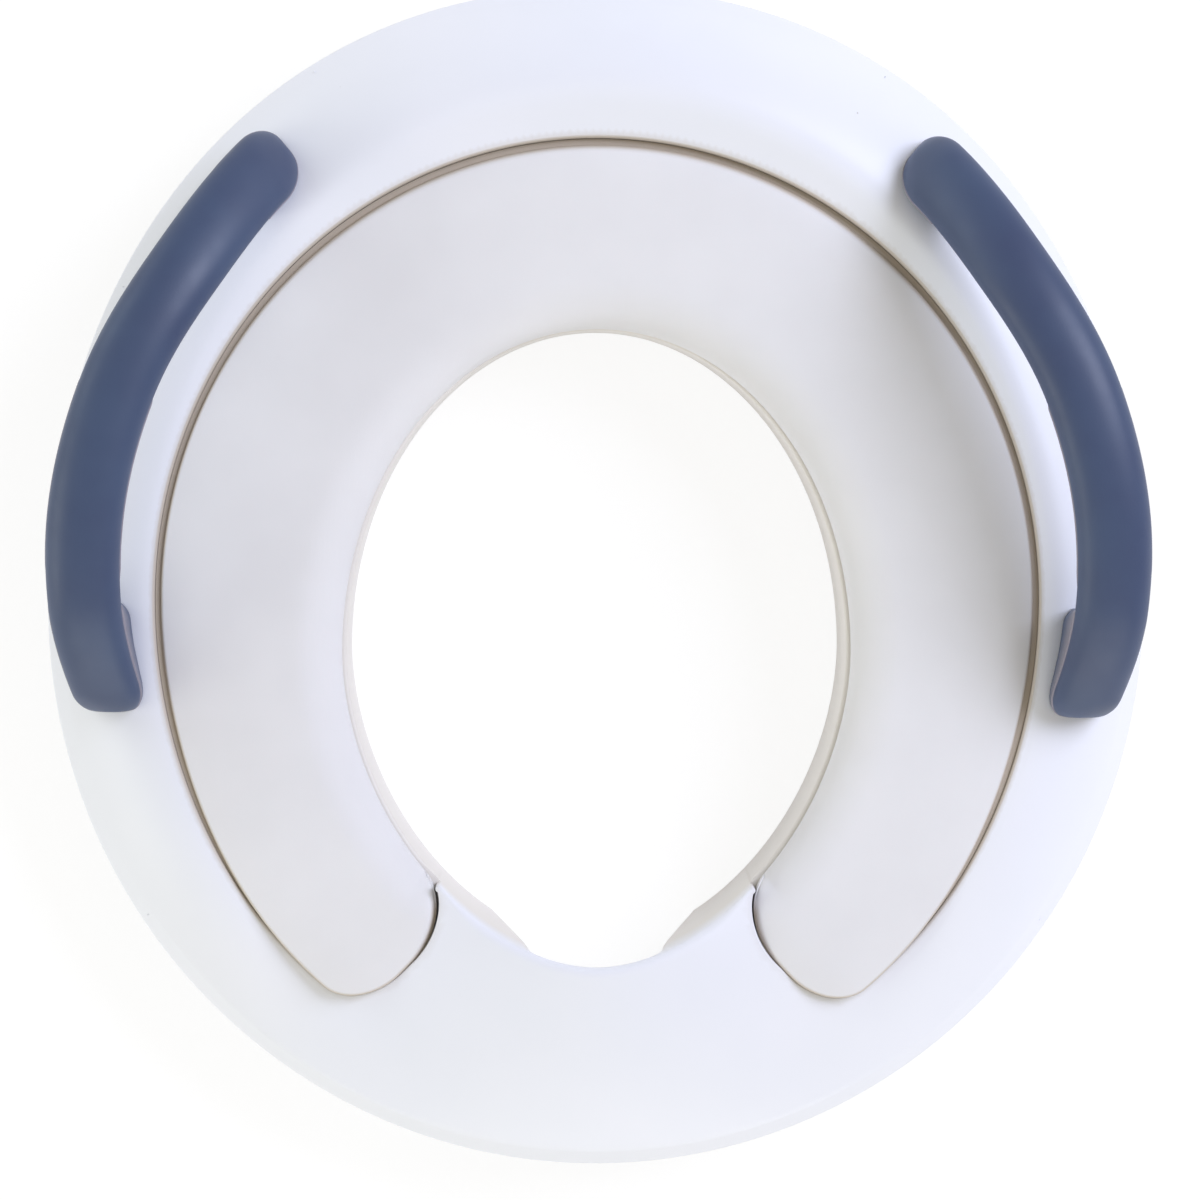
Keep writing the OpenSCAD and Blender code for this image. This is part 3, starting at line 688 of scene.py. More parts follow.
def add_upper_side(builder):
    edge, on_hole = shell_edge()
    radius = edge_radius(edge, on_hole)
    normal = outward(edge)
    shoulder = edge + normal * radius[:, None]
    rows = []
    for step in range(ROUND_STEPS + 1):
        swing = math.pi / 2 * step / ROUND_STEPS
        at = shoulder - normal * radius[:, None] * math.sin(swing)
        rows.append(with_z(at, height_at(at) - radius * (1 - math.cos(swing))))
    builder.rows(rows)
    builder.rows([tray_stretch(rows[-1]), with_z(tray_stretch(edge), TRAY_Z)], looped=False)

    crease = CREASE.at(TURNS)
    inner = lattice(np.linspace(0.0, 3.0, LATTICE_ROWS))
    inner = inner[inside(inner, crease) & ~inside(inner, shoulder)]
    for line in (shoulder, crease):
        inner = clear_of(inner, line, LATTICE_GAP)
    flat, faces = filled([crease, shoulder], inner)
    builder.faces_of(with_z(flat, height_at(flat)), faces)

    roll = [with_z(crease, CREASE_Z)]
    for down in ROLL_STEPS:
        ring = RIM.grown(-RIM_ROLL * (1 - down))
        roll.append(with_z(ring.at(TURNS), mix(CREASE_Z, CHAMFER_Z, down)))
    for swing in np.linspace(1, 0, CHAMFER_STEPS) * math.pi / 4:
        ring = RIM.grown(-CHAMFER_ROUND * (1 - math.cos(swing)))
        roll.append(with_z(ring.at(TURNS), CHAMFER_FOOT_Z + CHAMFER_ROUND * math.sin(swing)))
    roll += [with_z(RIM.grown(-inset).at(TURNS), SKIRT_Z + lift) for inset, lift in SKIRT_FOOT]
    builder.rows(roll)


def tray_lip(turns):
    """Rounding of the tray floor's edge at the hole, which fades out at the nose."""
    return TRAY_LIP_ROUND * eased(from_front(turns), NOSE_ANGLE, TRAY_LIP_FADE)


def add_tray_floor(builder):
    """The tray's floor, with its rounded lip at the hole."""
    turns = np.concatenate([FRONT + TRAY_ANGLES, FRONT - TRAY_ANGLES[-2::-1]])
    radius = tray_lip(turns)
    hole = HOLE.at(turns)
    way = (HOLE.grown(TRAY_LIP_ROUND).at(turns) - hole) / TRAY_LIP_ROUND
    lip = []
    for swing in np.linspace(0, math.pi / 2, 4):
        at = hole + way * (radius * (1 - math.cos(swing)))[:, None]
        lip.append(with_z(at, TRAY_Z - radius * (1 - math.sin(swing))))
    builder.rows(lip, looped=False)
    edge, _ = shell_edge()
    builder.cap(np.concatenate([tray_stretch(edge), lip[-1][-2:0:-1, :2]]), TRAY_Z)


UNDER_DROP = 1.15 * WALL
UNDER_LAP = 1.5
UNDER_FOOT_GAP = 0.5
UNDER_STEP = 0.4
TRAY_OUT_MOST = 1.25


def foot_level():
    """Height of the collar's lower edge."""
    gap, z = gap_angles()
    return np.interp(from_front(TURNS), gap, z, right=0.0)


def under_level():
    """Height of the wall's underside beside the collar."""
    share = WALL / np.linalg.norm(TRAY.at(TURNS) - HOLE.at(TURNS), axis=1)
    level = np.where(from_front(TURNS) >= TRAY_END_ANGLE - UNDER_LAP, TRAY_Z - WALL,
                     surface_z(share, TURNS) - UNDER_DROP)
    return np.maximum(level, foot_level() + UNDER_FOOT_GAP)


def add_collar(builder):
    low = foot_level()
    hole = HOLE.at(TURNS)
    outer = HOLE.grown(WALL).at(TURNS)
    builder.rows([with_z(hole, low), with_z(outer, low), with_z(outer, under_level())])
    side = len(GUARD_ANGLES)
    guard = np.concatenate([np.arange(len(TURNS) - side + 1, len(TURNS)), np.arange(side)])
    radius = edge_radius(hole[guard], np.ones(len(guard), bool))
    steps = [height_at(hole[guard]) - radius, np.maximum(low[guard], TRAY_Z), low[guard]]
    builder.rows([with_z(hole[guard], z) for z in steps], looped=False)
    rest = slice(side - 1, len(TURNS) - side + 2)
    top = TRAY_Z - tray_lip(TURNS[rest])
    builder.rows([with_z(hole[rest], top), with_z(hole[rest], low[rest])], looped=False)


def add_under_side(builder):
    """Underside of the wall from the skirt in to the collar, with the tray's floor hanging in it."""
    width = np.linalg.norm(TRAY.at(TURNS) - HOLE.at(TURNS), axis=1)
    past = from_front(TURNS) - TRAY_END_ANGLE + UNDER_LAP
    share = mix(OUTER_END_SHARE, 1, quarter(past / TRAY_CORNER_ANGLE))
    tray_out = np.minimum(TRAY_OUT_MOST, share + (WALL + UNDER_STEP) / width)
    skirt = RIM.grown(-WALL).at(TURNS)
    rows = [with_z(skirt, SKIRT_Z), with_z(skirt, SKIRT_TOP_Z - WALL / 2)]

    def add_row(share, on_tray):
        level = surface_z(share, TURNS) - UNDER_DROP
        rows.append(with_z(plan(share, TURNS), np.where(on_tray, TRAY_Z - WALL, level)))

    for k in np.linspace(0.97, 0, 14):
        add_row(np.full(len(TURNS), 2 + k), False)
    for k in np.linspace(0.8, 0, 4):
        add_row(mix(tray_out, 2, k), False)
    for k in (1.0, *np.linspace(0.9, 0.1, 8)):
        add_row(mix(WALL / width, tray_out - UNDER_STEP / width, k), past >= 0)
    rows.append(with_z(HOLE.grown(WALL).at(TURNS), under_level()))
    builder.rows(rows)


# What repeats: ribs, bosses, pegs, screws and grips, set out on points by one node tree

RIB_TURNS = (0, 30, 60, 90, 120, 150, 180, 214, 326)
RIB_THICKNESS = 1.8
RIB_HEIGHT = 10.0
RIB_LOW_Z = 31.0
RIB_COLUMNS = 44
WALL_SINK = 0.9
PEG_TURNS = (15, 45, 75, 105, 135, 165, 222, 318)
PEG_DIAMETER = 6.0
PEG_LENGTH = 7.0
BOSS_DIAMETER = 10.5
BOSS_LENGTH = 10.0
BOSS_HEIGHT = 6.0
BOSS_BORE = 3.0
BOSS_EDGE = 0.4
BOSS_SIDES = 40
TOP_ABOVE = 5.0
SCREW_DIAMETER = 3.5
SCREW_LENGTH = 20.0
SCREW_SIDES = 48
SCREW_TURNS = (12.0, 71.0, 40.0, 5.0)
THREADS = 13
THREAD_START = 2.0
THREAD_STOP = 3.0
THREAD_PITCH_SHARE = 0.45
THREAD_ROOT = 0.78
TIP_WIDTH = 0.7
TIP_LENGTH = 2.0
HEAD_DIAMETER = 7.0
HEAD_HEIGHT = 2.4
HEAD_FALL = (0.3, 0.7)
RECESS_WIDTH = 0.8
RECESS_DEPTH = 1.2
RECESS_TAPER = 0.8
PEG_EDGE = 0.6
GRIP_TURNS = {"back_left": 150.0, "back_right": 30.0, "front_left": 214.0, "front_right": 326.0}
GRIP_LENGTH = 30.0
GRIP_WIDTH = 10.0
GRIP_HEIGHT = 8.0
GRIP_LOW_Z = SKIRT_Z - 1.2
GRIP_SLOT = 2.1
GRIP_EDGE = 0.55
SHELL_SHARP = 38
PAD_SHARP = 50
HANDLE_SHARP = 45
SMALL_PART_SHARP = 35


def setting_out_tree():
    """Copies a pattern onto points, and lets what is marked as top rise into a wall above it."""
    tree = bpy.data.node_groups.new("set_out_on_points", "GeometryNodeTree")
    face = tree.interface
    for name, kind in (("Geometry", "Geometry"), ("Pattern", "Object"), ("Wall", "Object"),
                       ("Sink", "Float"), ("Finish", "Material")):
        face.new_socket(name, in_out="INPUT", socket_type="NodeSocket" + kind)
    face.new_socket("Geometry", in_out="OUTPUT", socket_type="NodeSocketGeometry")

    def add(kind, settings=None, **inputs):
        return add_node(tree, kind, settings, **inputs)

    def stored(name, kind):
        node = add("GeometryNodeInputNamedAttribute", {"data_type": kind}, Name=name)
        return node.outputs["Attribute"]

    given = add("NodeGroupInput").outputs
    pattern = add("GeometryNodeObjectInfo", Object=given["Pattern"])
    wall = add("GeometryNodeObjectInfo", Object=given["Wall"])
    copies = add("GeometryNodeInstanceOnPoints", Points=given["Geometry"],
                 Instance=pattern.outputs["Geometry"], Rotation=stored("turn", "FLOAT_VECTOR"),
                 Scale=stored("size", "FLOAT_VECTOR"))
    solid = add("GeometryNodeRealizeInstances", Geometry=copies.outputs["Instances"])
    place = add("ShaderNodeSeparateXYZ", Vector=add("GeometryNodeInputPosition").outputs["Position"])
    below = add("ShaderNodeCombineXYZ", X=place.outputs["X"], Y=place.outputs["Y"], Z=RIB_LOW_Z * MM)
    ray = add("GeometryNodeRaycast", Target_Geometry=wall.outputs["Geometry"],
              Source_Position=below.outputs["Vector"], Ray_Direction=(0.0, 0.0, 1.0), Ray_Length=0.1)
    hit = add("ShaderNodeSeparateXYZ", Vector=ray.outputs["Hit Position"])
    height = add("ShaderNodeMath", i0=hit.outputs["Z"], i1=given["Sink"])
    target = add("ShaderNodeCombineXYZ", X=place.outputs["X"], Y=place.outputs["Y"],
                 Z=height.outputs["Value"])
    rises = add("FunctionNodeBooleanMath", i0=stored("top", "FLOAT"), i1=ray.outputs["Is Hit"])
    raised = add("GeometryNodeSetPosition", Geometry=solid.outputs["Geometry"],
                 Selection=rises.outputs["Boolean"], Position=target.outputs["Vector"])
    plain = add("GeometryNodeRealizeInstances", Geometry=raised.outputs["Geometry"])
    done = add("GeometryNodeSetMaterial", Geometry=plain.outputs["Geometry"],
               Material=given["Finish"])
    add("NodeGroupOutput", Geometry=done.outputs["Geometry"])
    return tree


def set_out(tree, pattern, places, finish, turns=0.0, sizes=1.0, wall=None):
    """One plain mesh of a pattern copied to places, each with its turn about Z and its size."""
    spots = bpy.data.meshes.new("spots")
    spots.from_pydata((np.asarray(places, float) * MM).tolist(), [], [])
    angles = np.zeros((len(places), 3))
    angles[:, 2] = np.radians(turns)
    for name, values in (("turn", angles), ("size", np.broadcast_to(sizes, angles.shape))):
        layer = spots.attributes.new(name, "FLOAT_VECTOR", "POINT")
        layer.data.foreach_set("vector", values.astype(np.float32).ravel())
    holders = [linked("spots", spots), linked("pattern", pattern)]
    if wall:
        holders.append(linked("wall", wall))
    modifier = holders[0].modifiers.new("set_out", "NODES")
    modifier.node_group = tree
    values = {"Pattern": holders[1], "Wall": holders[2] if wall else None,
              "Sink": WALL_SINK * MM, "Finish": finish}
    for item in tree.interface.items_tree:
        if item.in_out == "INPUT" and values.get(item.name) is not None:
            modifier[item.identifier] = values[item.name]
    seen = holders[0].evaluated_get(bpy.context.evaluated_depsgraph_get())
    made = bpy.data.meshes.new_from_object(seen)
    holders[0].modifiers.remove(modifier)
    for holder in holders:
        bpy.data.objects.remove(holder)
    return made


def pattern_from(builder, name, top_above=math.inf):
    """A pattern's mesh; points above a level are marked as its top."""
    data = builder.mesh(name, FINE_MERGE_MM)
    paint(data, "top", places_of(data)[:, 2] > top_above)
    return data


def rib_pattern():
    """A plate one unit long that stands on a rib's lower edge."""
    half = RIB_THICKNESS / 2
    rows = [[(x, half, 0), (x, half, RIB_HEIGHT), (x, -half, RIB_HEIGHT), (x, -half, 0)]
            for x in np.linspace(0, 1, RIB_COLUMNS) / MM]
    builder = Builder()
    builder.rows(rows)
    for end in (rows[0], rows[-1]):
        builder.faces_of(end, [(0, 1, 2, 3)])
    return pattern_from(builder, "rib", TOP_ABOVE)


def ring_points(sides):
    """Unit vectors at even angles, once round."""
    swing = np.linspace(0, 2 * math.pi, sides + 1)[:-1]
    return np.stack([np.cos(swing), np.sin(swing)], axis=-1)


def turned_pattern(name, profile, top_above=math.inf):
    """A turned solid from its axis out and back, of radii and heights."""
    builder = Builder()
    builder.rows([with_z(radius * ring_points(BOSS_SIDES), z) for radius, z in profile])
    return pattern_from(builder, name, top_above)


def screw_pattern():
    """Pan-head screw with a cross recess, its head's seat at zero and its shank upwards."""
    ring = ring_points(SCREW_SIDES)
    radius, height, shank = HEAD_DIAMETER / 2, HEAD_HEIGHT, SCREW_DIAMETER / 2
    edge, dome = HEAD_FALL
    rows = []
    for swing in np.linspace(math.pi / 2, 0, 7):
        inset = 0.5 * (1 - math.cos(swing)) * height
        rows.append(with_z(ring * (radius - inset), -height * (edge + dome * math.sin(swing))))
    rows += [with_z(ring * radius, 0.0), with_z(ring * shank, 0.0)]
    for z in np.linspace(THREAD_START, SCREW_LENGTH - THREAD_STOP, THREADS):
        rows += [with_z(ring * shank, z), with_z(ring * shank * THREAD_ROOT, z + THREAD_PITCH_SHARE)]
    rows += [with_z(ring * shank * TIP_WIDTH, SCREW_LENGTH - TIP_LENGTH), with_z(ring * 0.1, SCREW_LENGTH)]
    builder = Builder()
    builder.rows(rows)
    builder.faces_of(rows[-1], [tuple(range(SCREW_SIDES))])
    arm, half = shank, RECESS_WIDTH / 2
    cross = np.array([(arm, -half), (arm, half), (half, half), (half, arm), (-half, arm), (-half, half),
                      (-arm, half), (-arm, -half), (-half, -half), (-half, -arm), (half, -arm),
                      (half, -half)])
    flat, faces = filled([rows[0][:, :2], cross], [])
    builder.faces_of(with_z(flat, -height), faces)
    builder.rows([with_z(cross, -height), with_z(cross * RECESS_TAPER, RECESS_DEPTH - height)])
    builder.cap(cross * RECESS_TAPER, RECESS_DEPTH - height)
    return pattern_from(builder, "screw")


def grip_pattern():
    """Rubber channel with rounded edges, its slot upwards."""
    half, slot, deep = GRIP_WIDTH / 2, GRIP_SLOT / 2, RIB_LOW_Z - GRIP_LOW_Z
    outline = [(-half, 0), (half, 0), (half, GRIP_HEIGHT), (slot, GRIP_HEIGHT), (slot, deep),
               (-slot, deep), (-slot, GRIP_HEIGHT), (-half, GRIP_HEIGHT)]
    builder = Builder()
    ends = [[(x, y, z) for y, z in outline] for x in (-GRIP_LENGTH / 2, GRIP_LENGTH / 2)]
    builder.rows(ends)
    for end in ends:
        builder.faces_of(end, [(0, 1, 4, 5), (1, 2, 3, 4), (0, 5, 6, 7)])
    data = pattern_from(builder, "grip")
    shape = bmesh.new()
    shape.from_mesh(data)
    bmesh.ops.dissolve_limit(shape, angle_limit=math.radians(1), verts=shape.verts, edges=shape.edges)
    bmesh.ops.bevel(shape, geom=shape.edges, offset=GRIP_EDGE * MM, segments=3, affect="EDGES")
    shape.to_mesh(data)
    shape.free()
    return data


def bar_line(turns):
    """Middles of the left bar at angles round the rim, and the rim's normals there."""
    ahead = RIM.at(turns + 0.5) - RIM.at(turns - 0.5)
    normal = unit(np.stack([ahead[:, 1], -ahead[:, 0]], -1))
    return RIM.at(turns) - normal * inset_at(turns)[:, None], normal


def screw_places():
    """Lower ends of the bosses, each below the middle of a handle's foot."""
    back, front = (length / 2 / BAR_MM_PER_DEGREE for length in FOOT_LENGTHS)
    left, _ = bar_line(np.array([BACK_FOOT_ANGLE + back, FRONT_FOOT_ANGLE - front]))
    feet = np.concatenate([left, left * LEFT_TO_RIGHT])
    return with_z(feet, height_at(feet) - BOSS_LENGTH - WALL)


def joined(data, *others):
    """Adds the faces of other meshes to a mesh."""
    shape = bmesh.new()
    for mesh in (data, *others):
        shape.from_mesh(mesh)
    shape.to_mesh(data)
    shape.free()


def ribs_and_bosses(tree, shell, finish):
    """The plates and screw bosses that hang below the wall and rise into it."""
    turns = np.array(RIB_TURNS, float)
    start = HOLE.grown(WALL + 0.05).at(turns)
    way = RIM.grown(-WALL - 0.05).at(turns) - start
    run = np.linalg.norm(way, axis=1)
    sizes = np.stack([run * MM, np.ones(len(run)), np.ones(len(run))], axis=-1)
    ribs = set_out(tree, rib_pattern(), with_z(start, RIB_LOW_Z), finish,
                   np.degrees(np.arctan2(way[:, 1], way[:, 0])), sizes, shell)
    radius, bore = BOSS_DIAMETER / 2, SCREW_DIAMETER / 2
    profile = [(0.0, BOSS_BORE), (bore, BOSS_BORE), (bore, 0.0), (radius - BOSS_EDGE, 0.0),
               (radius, BOSS_EDGE), (radius, BOSS_HEIGHT), (0.0, BOSS_HEIGHT)]
    boss = turned_pattern("boss", profile, TOP_ABOVE)
    return ribs, set_out(tree, boss, screw_places(), finish, wall=shell)


def make_screws(tree, finish):
    data = set_out(tree, screw_pattern(), screw_places(), finish, SCREW_TURNS)
    smoothed(data, SMALL_PART_SHARP)
    piece = piece_from(data, "pan_head_screws", finish)
    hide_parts("handle_screws")


def make_grips(tree, finish):
    for name, turn in GRIP_TURNS.items():
        start, end = HOLE.at([turn]), RIM.at([turn])
        way = math.degrees(math.atan2(*(end - start)[0, ::-1]))
        data = set_out(tree, grip_pattern(), with_z((start + end) / 2, GRIP_LOW_Z), finish, way)
        smoothed(data, SMALL_PART_SHARP)
        piece = piece_from(data, name + "_rubber_grip", finish)
        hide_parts(name + "_grip_pad")


# How far and how dark the painted shade reaches over the shell's edge beside the pad's groove: faint at the
# tray's ends, strong along its sides
JOINT_REACH = 1.4
JOINT_FULLNESS = 1.5
JOINT_SHADES = (0.15, 0.85)
JOINT_EASE = (38.0, 20.0)
# Reach of the painted warm shade down and along the hole's wall
RECESS_FADE = 4.0
RECESS_REACH = 2.0


def make_shell(material, tree):
    builder = Builder()
    add_upper_side(builder)
    add_tray_floor(builder)
    add_collar(builder)
    add_under_side(builder)
    data = builder.mesh("seat_shell_moulding")
    joined(data, *ribs_and_bosses(tree, data, material))
    smoothed(data, SHELL_SHARP)
    edge, on_hole = shell_edge()
    place = places_of(data)
    spots, z = place[:, :2], place[:, 2]
    # Painted shade on the shell's edge beside the pad's groove, only above the tray's floor
    gap, _ = nearest(spots, edge[~on_hole])
    shade = mix(*JOINT_SHADES, eased(from_front(polar(spots)[1]), *JOINT_EASE))
    paint(data, "joint_shade", smooth(JOINT_FULLNESS * (1 - gap / JOINT_REACH)) * (z > TRAY_Z + 1) * shade)
    # Painted warm shade on the hole's wall: stronger lower down and near the hole's edge
    inner, _ = nearest(spots, HOLE.at(TURNS))
    paint(data, "recess", smooth((EDGE_Z - z) / RECESS_FADE)
          * smooth((2 * RECESS_REACH - inner) / RECESS_REACH))
    piece = piece_from(data, "seat_shell_moulding", material)
    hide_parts("seat_shell")


# The pad

PAD_BASE_Z = 44.3
PAD_THICKNESS = 14.5
PAD_LIP = 1.6
PAD_INNER_ROLL = 15.0
PAD_FALL_WIDTH = 10.0
PAD_FALL = 0.7
PAD_CROWN = 1.4
PAD_GAP = 0.12
PAD_HOLE_MARGIN_BACK = 0.3
PAD_HOLE_MARGIN_SIDE = 1.4
PAD_END_GAP = 0.07
PAD_HOLE_EASE = 70.0
PAD_STEP = 1.4
PAD_END_STEP = 0.84
PAD_END_POINTS = 50
PAD_HOLE_POINTS = 200
PAD_FAR_POINTS = 260
PAD_ROWS = 42
PAD_ROW_GAP = 0.8
PAD_FOOT = (0.6, 0.5)
PAD_INSETS = (0.0, 0.05, 0.15, 0.35, 0.65, 1.0, 1.5, 2.2, 3.0, 4.0)
GROOVE_SIDE = (1.7, 1.5, 0.8)
GROOVE_BACK = (1.9, 1.4, 2.2)
GROOVE_TIP = (0.05, 0.6, 0.9)
GROOVE_NOSE = (0.5, 0.3, 1.5)
GROOVE_HOLE = (0.0, 0.0, 0.1)
NOSE_TO_TIP = (0.3, 0.4)
TIP_TO_SIDE = (38.0, 40.0)
SIDE_TO_BACK = (110.0, 45.0)
GROOVE_LEAST = 0.4
GROOVE_SHADE_REACH = 1.1
GROOVE_SHADE_POWER = 0.8
NOSE_FADE = (0.04, 0.12)
ON_HOLE, ON_END, ON_FAR = 0, 1, 2


def pad_outline():
    """Right half of the pad's outline: the hole's side, both parts of its end, the far side."""
    outer_ring = TRAY.grown(-PAD_GAP)

    def inner_at(turns):
        side = smooth((FULL_TURN / 2 - from_front(turns)) / PAD_HOLE_EASE)
        margin = mix(PAD_HOLE_MARGIN_BACK, PAD_HOLE_MARGIN_SIDE, side)[:, None]
        return mix(HOLE.at(turns), HOLE.grown(10.0).at(turns), margin / 10)

    def at(share, angle):
        return mix(inner_at(FRONT + angle), outer_ring.at(FRONT + angle), share[:, None])

    first = TRAY_END_ANGLE + PAD_END_GAP
    inner, outer = (at(*curve) for curve in end_curves(PAD_END_POINTS, first))
    back = FRONT + FULL_TURN / 2
    hole_side = inner_at(np.linspace(back, FRONT + first + TRAY_INNER_ANGLE, PAD_HOLE_POINTS))
    far_side = outer_ring.at(np.linspace(FRONT + first + TRAY_CORNER_ANGLE, back, PAD_FAR_POINTS))
    return hole_side, inner, outer, far_side


def groove_shape(points, mark):
    """Width and depth of the groove's floor, and radius of the pad's edge, along its outline."""
    angle = from_front(polar(points)[1])[:, None]
    share = located(points)[0][:, None]
    nose, tip, side, back, hole = (
        np.array(v) for v in (GROOVE_NOSE, GROOVE_TIP, GROOVE_SIDE, GROOVE_BACK, GROOVE_HOLE))
    end = mix(nose, tip, eased(share, *NOSE_TO_TIP))
    far = mix(mix(tip, side, eased(angle, *TIP_TO_SIDE)), back, eased(angle, *SIDE_TO_BACK))
    shape = np.where(mark[:, None] == ON_END, end, far)
    return np.where(mark[:, None] == ON_HOLE, hole, shape).T


def pad_loop():
    """The pad's outline as one closed loop, and the side that each point is on."""
    hole_side, inner, outer, far_side = pad_outline()
    parts = [respaced(hole_side, PAD_STEP),
             respaced(np.concatenate([inner, outer]), PAD_END_STEP)[1:-1],
             respaced(far_side, PAD_STEP)]
    right = np.concatenate(parts)
    mark = np.repeat((ON_HOLE, ON_END, ON_FAR), [len(part) for part in parts])
    left = mirrored(right)[1:-1]
    return np.concatenate([right, left]), np.concatenate([mark, mark[::-1][1:-1]])


def make_pad(material, tree):
    """Moulded foam horseshoe: a wide roll on the side of the hole and a tight one outside."""
    loop, mark = pad_loop()
    on_hole = mark == ON_HOLE
    inward = -outward(loop)
    full = PAD_THICKNESS - PAD_LIP
    low = PAD_BASE_Z + PAD_LIP
    width, depth, radius = groove_shape(loop, mark)
    body = loop + inward * width[:, None]
    hole_line, rim_line, rim_radius = loop[on_hole], body[~on_hole], radius[~on_hole]

    def top_z(points, inset=None):
        inner, _ = nearest(points, hole_line)
        outer, at = nearest(points, rim_line)
        roll = rim_radius[at]
        if inset is not None:
            inner = np.where(on_hole, inset, inner)
            outer = np.where(on_hole, outer, inset)
        rise = quarter(inner / PAD_INNER_ROLL)
        crown = PAD_CROWN * np.sin(np.pi * np.clip(outer / np.maximum(inner + outer, 1), 0, 1))
        fall = PAD_FALL * (1 - np.clip(outer / PAD_FALL_WIDTH, 0, 1)) ** 2
        edge = roll * (1 - quarter(outer / roll))
        return low + ((full - PAD_CROWN) + crown) * rise - (fall + edge) * rise

    foot_inset, foot_lift = PAD_FOOT
    foot_z = PAD_BASE_Z + foot_lift
    floor_z = np.minimum(height_at(loop) - depth, top_z(body, 0.0) - GROOVE_LEAST)
    floor_z = np.maximum(np.where(on_hole, foot_z, floor_z), foot_z)
    builder = Builder()
    rows = [with_z(loop + inward * foot_inset, PAD_BASE_Z), with_z(loop, foot_z),
            with_z(loop, floor_z), with_z(body, floor_z + 0.05)]
    for inset in PAD_INSETS:
        at = body + inward * inset
        rows.append(with_z(at, top_z(at, inset)))
    builder.rows(rows)
    last = rows[-1][:, :2]
    grid = lattice(np.linspace(0.02, 0.98, PAD_ROWS))
    grid = clear_of(grid[inside(grid, last)], last, PAD_ROW_GAP)
    flat, faces = filled([last], grid)
    builder.faces_of(with_z(flat, top_z(flat)), faces)
    builder.cap(rows[0][:, :2], PAD_BASE_Z)
    data = builder.mesh("soft_pad", FINE_MERGE_MM)
    peg_radius, peg_top = PEG_DIAMETER / 2, PEG_LENGTH + 1
    peg = turned_pattern("peg", [(0.0, 0.0), (peg_radius - PEG_EDGE, 0.0), (peg_radius, PEG_EDGE),
                                 (peg_radius, peg_top), (0.0, peg_top)])
    pegs = plan(np.full(len(PEG_TURNS), 0.5), np.array(PEG_TURNS, float))
    joined(data, set_out(tree, peg, with_z(pegs, PAD_BASE_Z - PEG_LENGTH), material))
    smoothed(data, PAD_SHARP)
    # Painted shade on the pad's edge as it rolls into the groove, fading out towards the nose
    gap, at = nearest(places_of(data)[:, :2], loop[~on_hole])
    along = eased(located(loop[~on_hole])[0][at], *NOSE_FADE)
    reach = (GROOVE_SHADE_REACH * rim_radius[at]) ** GROOVE_SHADE_POWER
    paint(data, "groove_shade", (1 - smooth((gap - width[~on_hole][at]) / reach)) * along)
    piece = piece_from(data, "soft_pad", material)
    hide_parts("seat_pad")


# The handles

BAR_WIDTH = 22.5
BAR_THICKNESS = 16.0
BAR_INSET = 17.3
INSET_CHANGES = (1.0, 3.6, 0.0, -1.7, 2.3)
ARCH_TOP_Z = 108.0
ARCH_END_Z = 68.0
ARCH_POWER = 2.3
ARCH_EASE = 16.0
BACK_FOOT_ANGLE = 127.6
FRONT_FOOT_ANGLE = 192.0
FOOT_LENGTHS = (20.0, 33.0)
FOOT_FILLETS = (18.0, 9.0)
FOOT_GAP = 0.3
FOOT_ROUNDS = (12.0, 5.0)
FOOT_END_SHARE = 0.1
END_ROUNDS = (9.0, 6.5)
BAR_END_DROP = 5.0
OUTER_END_ROUNDS = (8.5, 5.6)
INNER_END_ROUNDS = (11.5, 9.5)
OUTER_END_SHARES = (0.34, 0.6)
INNER_END_SHARES = (0.08, 0.3)
FOOT_WIDTH_SHARES = (0.74, 1.0)
FRONT_WIDTH_SHARE = 0.95
BAR_POWER = 0.62
DOME_POWER = 0.95
BAR_TURN_START = 0.35
BAR_MM_PER_DEGREE = math.pi * (RIM.half - BAR_INSET) / 180
CROWN_POINTS = 37
LOWER_POINTS = 16
SEAM_DROP = 1.1
SEAM_LEVELS = (-0.4, -0.15, 0.1, 0.4)
PARTING_WIDTH = 1.3
SEAM_PROUD = 0.25
LOWER_HALF_STEP = 0.1
ARCH_STEP = 0.1
ARCH_POINTS = 400
BEND_POINTS = 14
FOOT_POINTS = 12
BAR_POINTS = 60
LEAST_STEP = 0.04
HANDLE_MERGE_MM = 0.001


def inset_at(turns):
    """Distance of the bar's middle from the rim, on a curve through five even steps."""
    knots = np.array(INSET_CHANGES)
    knots = np.concatenate([[2 * knots[0] - knots[1]], knots, [2 * knots[-1] - knots[-2]]])
    place = np.clip((turns - BACK_FOOT_ANGLE) / (FRONT_FOOT_ANGLE - BACK_FOOT_ANGLE), 0, 1)
    place = place * (len(INSET_CHANGES) - 1)
    first = np.minimum(np.floor(place), len(INSET_CHANGES) - 2).astype(int)
    a, b, c, d = (knots[first + k] for k in range(4))
    f = place - first
    return BAR_INSET + (2 * b + (c - a) * f + (2 * a - 5 * b + 4 * c - d) * f ** 2
                        + (3 * b - a - 3 * c + d) * f ** 3) / 2


